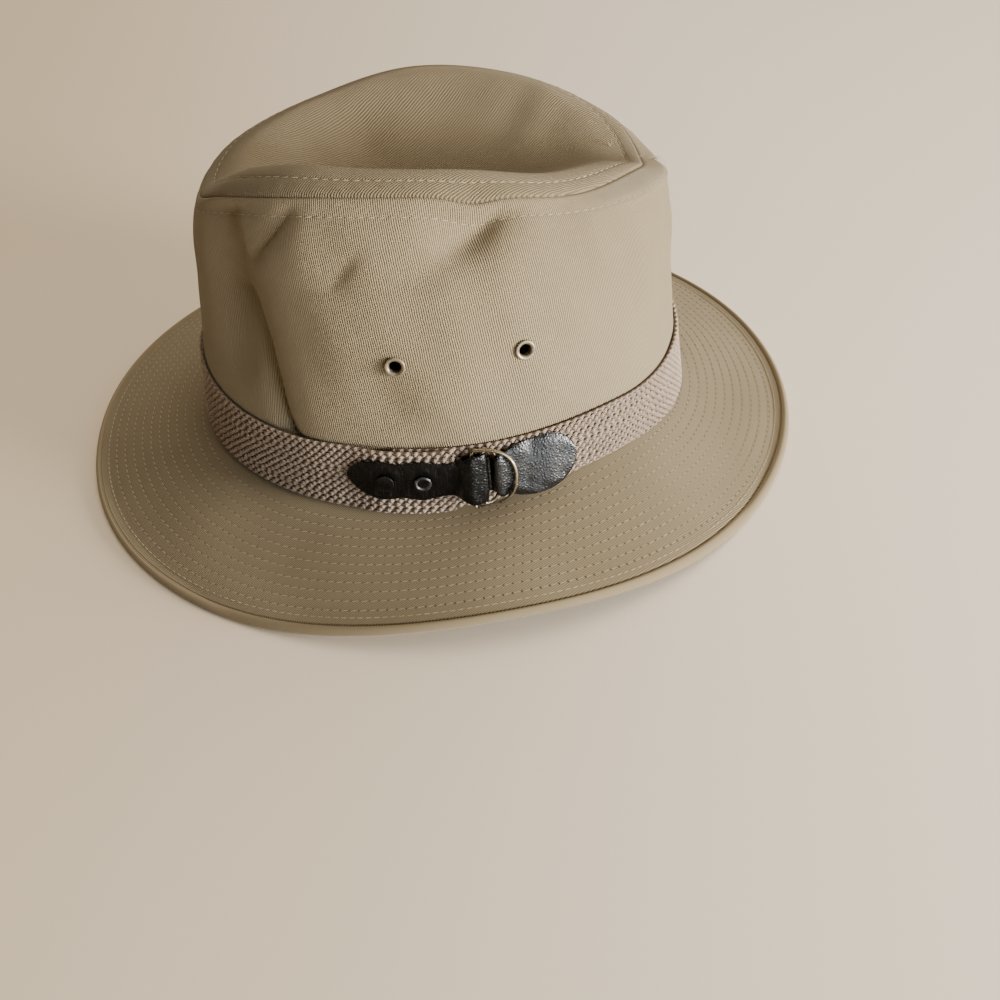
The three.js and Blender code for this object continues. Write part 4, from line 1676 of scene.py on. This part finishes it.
def grain_group():
    """Pebbled leather with fine cracks."""
    group, start, end = new_group(
        "leather_grain",
        [("Place", "Vector", (0, 0, 0)), ("Size", "Float", 1300.0)],
        [("Height", "Float"), ("Crack", "Float"), ("Polish", "Float")],
    )
    warp = noise(group, start.outputs["Place"], times(group, start.outputs["Size"], 0.35), 2.0)
    shift = group.nodes.new("ShaderNodeVectorMath")
    shift.operation = "SCALE"
    put(group, shift.inputs[0], start.outputs["Place"])
    put(group, shift.inputs["Scale"], maths(group, "MULTIPLY_ADD", warp, 0.004, 1.0))
    cell = group.nodes.new("ShaderNodeTexVoronoi")
    cell.feature = "DISTANCE_TO_EDGE"
    put(group, cell.inputs["Vector"], shift.outputs[0])
    put(group, cell.inputs["Scale"], start.outputs["Size"])
    pebble = ramp(group, cell.outputs["Distance"], 0.0, 0.5)
    broad = noise(group, start.outputs["Place"], times(group, start.outputs["Size"], 0.18), 4.0, 0.6)
    put(group, end.inputs["Height"], maths(group, "MULTIPLY_ADD", broad, 0.9, times(group, pebble, 0.5)))
    put(group, end.inputs["Crack"], ramp(group, cell.outputs["Distance"], 0.07, 0.0))
    put(group, end.inputs["Polish"], ramp(group, broad, 0.35, 0.65))
    return group


def tarnish_group():
    """Patches of dulled metal."""
    group, start, end = new_group(
        "tarnish",
        [("Place", "Vector", (0, 0, 0)), ("Size", "Float", 260.0)],
        [("Patch", "Float"), ("Scratch", "Float")],
    )
    patch = noise(group, start.outputs["Place"], start.outputs["Size"], 4.0, 0.65)
    put(group, end.inputs["Patch"], ramp(group, patch, 0.38, 0.66))
    fine = noise(group, stretched(group, start.outputs["Place"], (1, 1, 0.25)), 2600.0, 2.0)
    put(group, end.inputs["Scratch"], ramp(group, fine, 0.5, 0.75))
    return group


WEAVE = weave_group()
HANDLING = wear_group()
GRAIN = grain_group()
TARNISH = tarnish_group()


def new_finish(name, roughness, sheen=0.0, metal=0.0, coat=0.0, specular=0.5):
    material = bpy.data.materials.new(name)
    material.use_nodes = True
    tree = material.node_tree
    shader = tree.nodes["Principled BSDF"]
    shader.inputs["Roughness"].default_value = roughness
    shader.inputs["Sheen Weight"].default_value = sheen
    shader.inputs["Metallic"].default_value = metal
    shader.inputs["Coat Weight"].default_value = coat
    shader.inputs["Specular IOR Level"].default_value = specular
    return material, tree, shader


def object_place(tree):
    return tree.nodes.new("ShaderNodeTexCoord").outputs["Object"]


def map_of(tree, name):
    node = tree.nodes.new("ShaderNodeUVMap")
    node.uv_map = name
    return node.outputs["UV"]


def bumped(tree, shader, height, depth):
    """Relief of the finish; depth is in millimetres."""
    node = tree.nodes.new("ShaderNodeBump")
    node.inputs["Strength"].default_value = 1.0
    node.inputs["Distance"].default_value = depth * MM
    put(tree, node.inputs["Height"], height)
    put(tree, shader.inputs["Normal"], node.outputs["Normal"])


# tones of the cloth, the thread and the webbing
KHAKI_LIGHT = (0.335, 0.271, 0.170, 1)
KHAKI_MID = (0.285, 0.226, 0.136, 1)
# the deep tone is real soil and also painted shade in the twill's furrows
KHAKI_SOIL_AND_FURROW_SHADE = (0.145, 0.106, 0.057, 1)
# the hem's tone is painted shade over the rolled hem
HEM_KHAKI_PAINTED_SHADE = (0.225, 0.175, 0.102, 1)
# the tone towards which a whole piece of twill is darkened as painted shade
KHAKI_PAINTED_SHADE = (0.05, 0.034, 0.014, 1)
# the tone of the painted shade in the needle holes
NEEDLE_HOLE_PAINTED_SHADE = (0.03, 0.021, 0.012, 1)
THREAD = ((0.33, 0.27, 0.165, 1), (0.45, 0.38, 0.25, 1))
YARN = ((0.27, 0.198, 0.142, 1), (0.425, 0.325, 0.243, 1))
YARN_FADED = (0.47, 0.37, 0.285, 1)
# the deep yarn tone is painted shade between the plies
YARN_PLY_PAINTED_SHADE = (0.13, 0.092, 0.07, 1)
# the ground tones are painted shade in the gaps between the band's yarns
WEBBING_GAP_PAINTED_SHADE = ((0.12, 0.088, 0.067, 1), (0.24, 0.18, 0.14, 1))
# tones of the leather and the metal
LEATHER_BLACK = ((0.0018, 0.0017, 0.0016, 1), (0.0040, 0.0038, 0.0037, 1))
LEATHER_SOIL = (0.016, 0.015, 0.014, 1)
LEATHER_CRACK = (0.0012, 0.001, 0.0009, 1)
LEATHER_SCUFF = (0.034, 0.033, 0.032, 1)
BRASS = ((0.34, 0.29, 0.205, 1), (0.13, 0.104, 0.072, 1))
BRASS_SCRATCH = (0.48, 0.42, 0.31, 1)
BLACK_PAINT = ((0.006, 0.006, 0.0066, 1), (0.012, 0.012, 0.013, 1))
# the rubbed tones are lighter paint rubbed thin on the rivets' rims, and also a painted highlight there
RUBBED_PAINT_AND_HIGHLIGHT = ((0.05, 0.05, 0.052, 1), (0.20, 0.195, 0.19, 1))
KHAKI_PAINT = ((0.25, 0.205, 0.14, 1), (0.40, 0.34, 0.24, 1))
# how much of their full tone the wall, the top panel and the brim keep; the rest is painted shade, which darkens the
# top panel and the brim most
WALL_TONE_UNDER_PAINTED_SHADE = 0.98
TIP_TONE_UNDER_PAINTED_SHADE = 0.65
BRIM_TONE_UNDER_PAINTED_SHADE = 0.78


def needle_holes(tree):
    """Marks where the needle went through the brim, on the map of its stitch rows, and the cloth inside its hem."""
    split = tree.nodes.new("ShaderNodeSeparateXYZ")
    put(tree, split.inputs[0], map_of(tree, "rows"))

    def off_line(value, step):
        part = maths(tree, "FRACT", plus(tree, value, 0.5))
        return times(tree, maths(tree, "SUBTRACT", part, 0.5), step)

    row = maths(tree, "DIVIDE", maths(tree, "SUBTRACT", split.outputs[1], BRIM_ROW_FIRST), BRIM_ROW_STEP)
    x, y = off_line(split.outputs[0], STITCH), off_line(row, BRIM_ROW_STEP)
    away = maths(tree, "SQRT", plus(tree, times(tree, x, x), times(tree, y, y)))
    last = BRIM_ROW_FIRST + BRIM_ROW_STEP * (BRIM_ROWS - 0.5)
    begun = ramp(tree, split.outputs[1], BRIM_ROW_FIRST - 1.9, BRIM_ROW_FIRST - 1.2)
    inside = times(tree, begun, ramp(tree, split.outputs[1], last + 0.4, last))
    pierced = times(tree, ramp(tree, away, 0.5, 0.25), inside)
    return pierced, ramp(tree, split.outputs[1], HEM_MAP - 0.3, HEM_MAP)


def twill(name, pitch, lean, tone, holes=False):
    """Khaki twill, with painted shade in its furrows and over the whole piece by its tone; with holes it is the
    brim's, with painted shade over the hem and in its needle holes, which show less towards the front.
    """
    material, tree, shader = new_finish(name, 0.92, sheen=0.12, specular=0.25)
    weave = place_group(tree, WEAVE, cloth=map_of(tree, "cloth"), pitch=pitch, lean=lean)
    marks = place_group(tree, HANDLING, place=object_place(tree), size=14.0)
    colour = tinted(tree, marks["Fade"], KHAKI_MID, KHAKI_LIGHT)
    colour = tinted(tree, times(tree, weave["Yarn"], 0.35), colour, KHAKI_LIGHT)
    # painted shade in the furrows between the twill's ridges
    colour = tinted(tree, times(tree, weave["Furrow shade"], 0.85), colour, KHAKI_SOIL_AND_FURROW_SHADE)
    colour = tinted(tree, times(tree, marks["Soil"], 0.22), colour, KHAKI_SOIL_AND_FURROW_SHADE)
    # painted shade over the whole piece, by how much of its full tone it keeps
    colour = tinted(tree, 1 - tone, colour, KHAKI_PAINTED_SHADE)
    height = weave["Height"]
    if holes:
        pierced, flat_cloth = needle_holes(tree)
        split = tree.nodes.new("ShaderNodeSeparateXYZ")
        put(tree, split.inputs[0], object_place(tree))
        pierced = times(tree, pierced, ramp(tree, split.outputs[0], -0.10, 0.02, 0.3, 1.0))
        # painted shade over the rolled hem, inside its groove
        colour = tinted(tree, flat_cloth, HEM_KHAKI_PAINTED_SHADE, colour)
        height = times(tree, height, flat_cloth)
        # painted shade in the needle holes, weaker towards the front
        colour = tinted(tree, times(tree, pierced, 0.85), colour, NEEDLE_HOLE_PAINTED_SHADE)
        height = maths(tree, "SUBTRACT", height, times(tree, pierced, 2.0))
    put(tree, shader.inputs["Base Color"], colour)
    put(tree, shader.inputs["Roughness"], ramp(tree, weave["Height"], 0.0, 1.0, 0.97, 0.86))
    bumped(tree, shader, height, 0.27)
    return material


def sewing_thread():
    material, tree, shader = new_finish("sewing_thread", 0.7, sheen=0.2, specular=0.3)
    place = object_place(tree)
    marks = place_group(tree, HANDLING, place=place, size=60.0)
    colour = tinted(tree, marks["Fade"], *THREAD)
    put(tree, shader.inputs["Base Color"], colour)
    bumped(tree, shader, noise(tree, place, 5200.0, 1.0), 0.08)
    return material


def webbing_yarn():
    material, tree, shader = new_finish("webbing_yarn", 0.9, sheen=0.2, specular=0.2)
    cloth = map_of(tree, "cloth")
    split = tree.nodes.new("ShaderNodeSeparateXYZ")
    put(tree, split.inputs[0], cloth)
    # the plies of a yarn wind round it
    ply = plus(tree, times(tree, split.outputs[0], 0.32), times(tree, split.outputs[1], 1.59))
    twist = maths(tree, "MULTIPLY_ADD", maths(tree, "SINE", times(tree, ply, 2 * math.pi)), 0.5, 0.5)
    shade = noise(tree, stretched(tree, cloth, (0.28, 0.6, 1)), 1.0, 3.0, 0.6)
    marks = place_group(tree, HANDLING, place=object_place(tree), size=22.0)
    colour = tinted(tree, ramp(tree, shade, 0.32, 0.68), *YARN)
    colour = tinted(tree, times(tree, marks["Fade"], 0.3), colour, YARN_FADED)
    # painted shade in the grooves between the plies
    colour = tinted(tree, times(tree, ramp(tree, twist, 0.45, 0.0), 0.5), colour, YARN_PLY_PAINTED_SHADE)
    put(tree, shader.inputs["Base Color"], colour)
    bumped(tree, shader, plus(tree, twist, times(tree, shade, 0.6)), 0.16)
    return material


def webbing_gap_painted_shade():
    material, tree, shader = new_finish("webbing_gap_painted_shade", 0.95, specular=0.1)
    cloth = map_of(tree, "cloth")
    fibre = noise(tree, stretched(tree, cloth, (1.5, 4.0, 1)), 1.0, 3.0)
    # painted shade: the dark ground stands for the shade in the gaps between the yarns
    put(tree, shader.inputs["Base Color"], tinted(tree, fibre, *WEBBING_GAP_PAINTED_SHADE))
    bumped(tree, shader, fibre, 0.3)
    return material


def black_leather(name, specular, rough, smooth, scuffed=0.0):
    """Pebbled black leather; rough and smooth are the roughness of its dull and its handled places."""
    material, tree, shader = new_finish(name, rough, specular=specular)
    place = object_place(tree)
    grain = place_group(tree, GRAIN, place=place, size=900.0)
    marks = place_group(tree, HANDLING, place=place, size=90.0)
    colour = tinted(tree, grain["Polish"], *LEATHER_BLACK)
    colour = tinted(tree, times(tree, marks["Soil"], 0.2), colour, LEATHER_SOIL)
    colour = tinted(tree, times(tree, grain["Crack"], 0.6), colour, LEATHER_CRACK)
    hairs = noise(tree, stretched(tree, map_of(tree, "cloth"), (1.9, 0.16, 1)), 1.0, 3.0, 0.65)
    scuffs = times(tree, ramp(tree, hairs, 0.56, 0.66), scuffed)
    colour = tinted(tree, scuffs, colour, LEATHER_SCUFF)
    put(tree, shader.inputs["Base Color"], colour)
    put(tree, shader.inputs["Roughness"], ramp(tree, grain["Polish"], 0.0, 1.0, rough, smooth))
    bumped(tree, shader, grain["Height"], 0.2)
    return material


def antique_brass():
    material, tree, shader = new_finish("antique_brass", 0.34, metal=1.0)
    place = object_place(tree)
    age = place_group(tree, TARNISH, place=place, size=330.0)
    colour = tinted(tree, age["Patch"], *BRASS)
    colour = tinted(tree, times(tree, age["Scratch"], 0.35), colour, BRASS_SCRATCH)
    put(tree, shader.inputs["Base Color"], colour)
    put(tree, shader.inputs["Roughness"], ramp(tree, age["Patch"], 0.0, 1.0, 0.24, 0.5))
    bumped(tree, shader, noise(tree, place, 1500.0, 3.0), 0.03)
    return material


def painted_metal(name, colour, worn, roughness, coat=0.0):
    material, tree, shader = new_finish(name, roughness, metal=0.6, coat=coat, specular=0.4)
    place = object_place(tree)
    age = place_group(tree, TARNISH, place=place, size=520.0)
    shade = tinted(tree, times(tree, age["Patch"], 0.5), colour, worn)
    shade = tinted(tree, times(tree, age["Scratch"], 0.25), shade, worn)
    put(tree, shader.inputs["Base Color"], shade)
    put(tree, shader.inputs["Roughness"], ramp(tree, age["Patch"], 0.0, 1.0, roughness - 0.06, roughness + 0.1))
    bumped(tree, shader, noise(tree, place, 2200.0, 2.0), 0.015)
    return material


def dress_hat():
    """Makes every piece of the hat and puts it in the place of its solid."""
    wall_cloth = twill("crown_twill", WALE, WALL_LEAN, WALL_TONE_UNDER_PAINTED_SHADE)
    tip_cloth = twill("tip_twill", WALE, WALL_LEAN, TIP_TONE_UNDER_PAINTED_SHADE)
    brim_cloth = twill("brim_twill", WALE, BRIM_LEAN, BRIM_TONE_UNDER_PAINTED_SHADE, True)
    thread = sewing_thread()
    brass = antique_brass()
    black = painted_metal("black_paint", *BLACK_PAINT, 0.26)
    rubbed = painted_metal("rubbed_black_paint_and_highlight", *RUBBED_PAINT_AND_HIGHLIGHT, 0.3, 0.3)
    khaki_paint = painted_metal("khaki_paint", *KHAKI_PAINT, 0.36)

    finish_piece(brim(), brim_cloth, "brim_twill", "brim")
    finish_piece(crown_wall(), wall_cloth, "crown_twill", "crown_side")
    finish_piece(crown_tip(), tip_cloth, "crown_twill", "crown_tip")
    finish_piece(brim_stitches(), thread, "brim_twill")
    finish_piece(edge_stitches(), thread, "brim_twill")
    finish_piece(seam_stitches(), thread, "crown_twill")
    finish_piece(thread_ends(), thread, "crown_twill")
    finish_piece(band_backing(), webbing_gap_painted_shade(), "webbing", "hat_band")
    yarn = webbing_yarn()
    for half in band_webbing():
        finish_piece(half, yarn, "webbing", "hat_band")
    dull = black_leather("black_leather", 0.16, 0.4, 0.26, 0.55)
    rolled = black_leather("rolled_leather", 0.16, 0.3, 0.2, 0.2)
    polished = black_leather("polished_leather", 0.5, 0.36, 0.24)
    strap = strap_strip("strap_front_leather", STRAP_FRONT, True, front_relief)
    finish_piece(strap, dull, "black_leather", "strap_front")
    polish_end(strap, rolled, ROLL_FROM)
    strap = strap_strip("strap_back_leather", STRAP_BACK, False, back_relief)
    finish_piece(strap, polished, "black_leather", "strap_back")
    for ring in RINGS:
        finish_piece(wire_ring(*ring), brass, "antique_brass", ring[0])
    for name, along in zip(("rivet_front", "rivet_back"), RIVETS_ALONG):
        rivet = cap_rivet(name + "_cap", along)
        finish_piece(rivet, black, "black_metal", name)
        rubbed_and_highlit_rim(rivet, rubbed)
    for number, (point, normal) in enumerate(eyelet_axes(), 1):
        eyelet = clinched_eyelet(f"eyelet_{number}_rim", point, normal)
        finish_piece(eyelet, khaki_paint, "eyelet_metal", f"eyelet_{number}")


photo_camera()
room_light()
floor()
dress_hat()
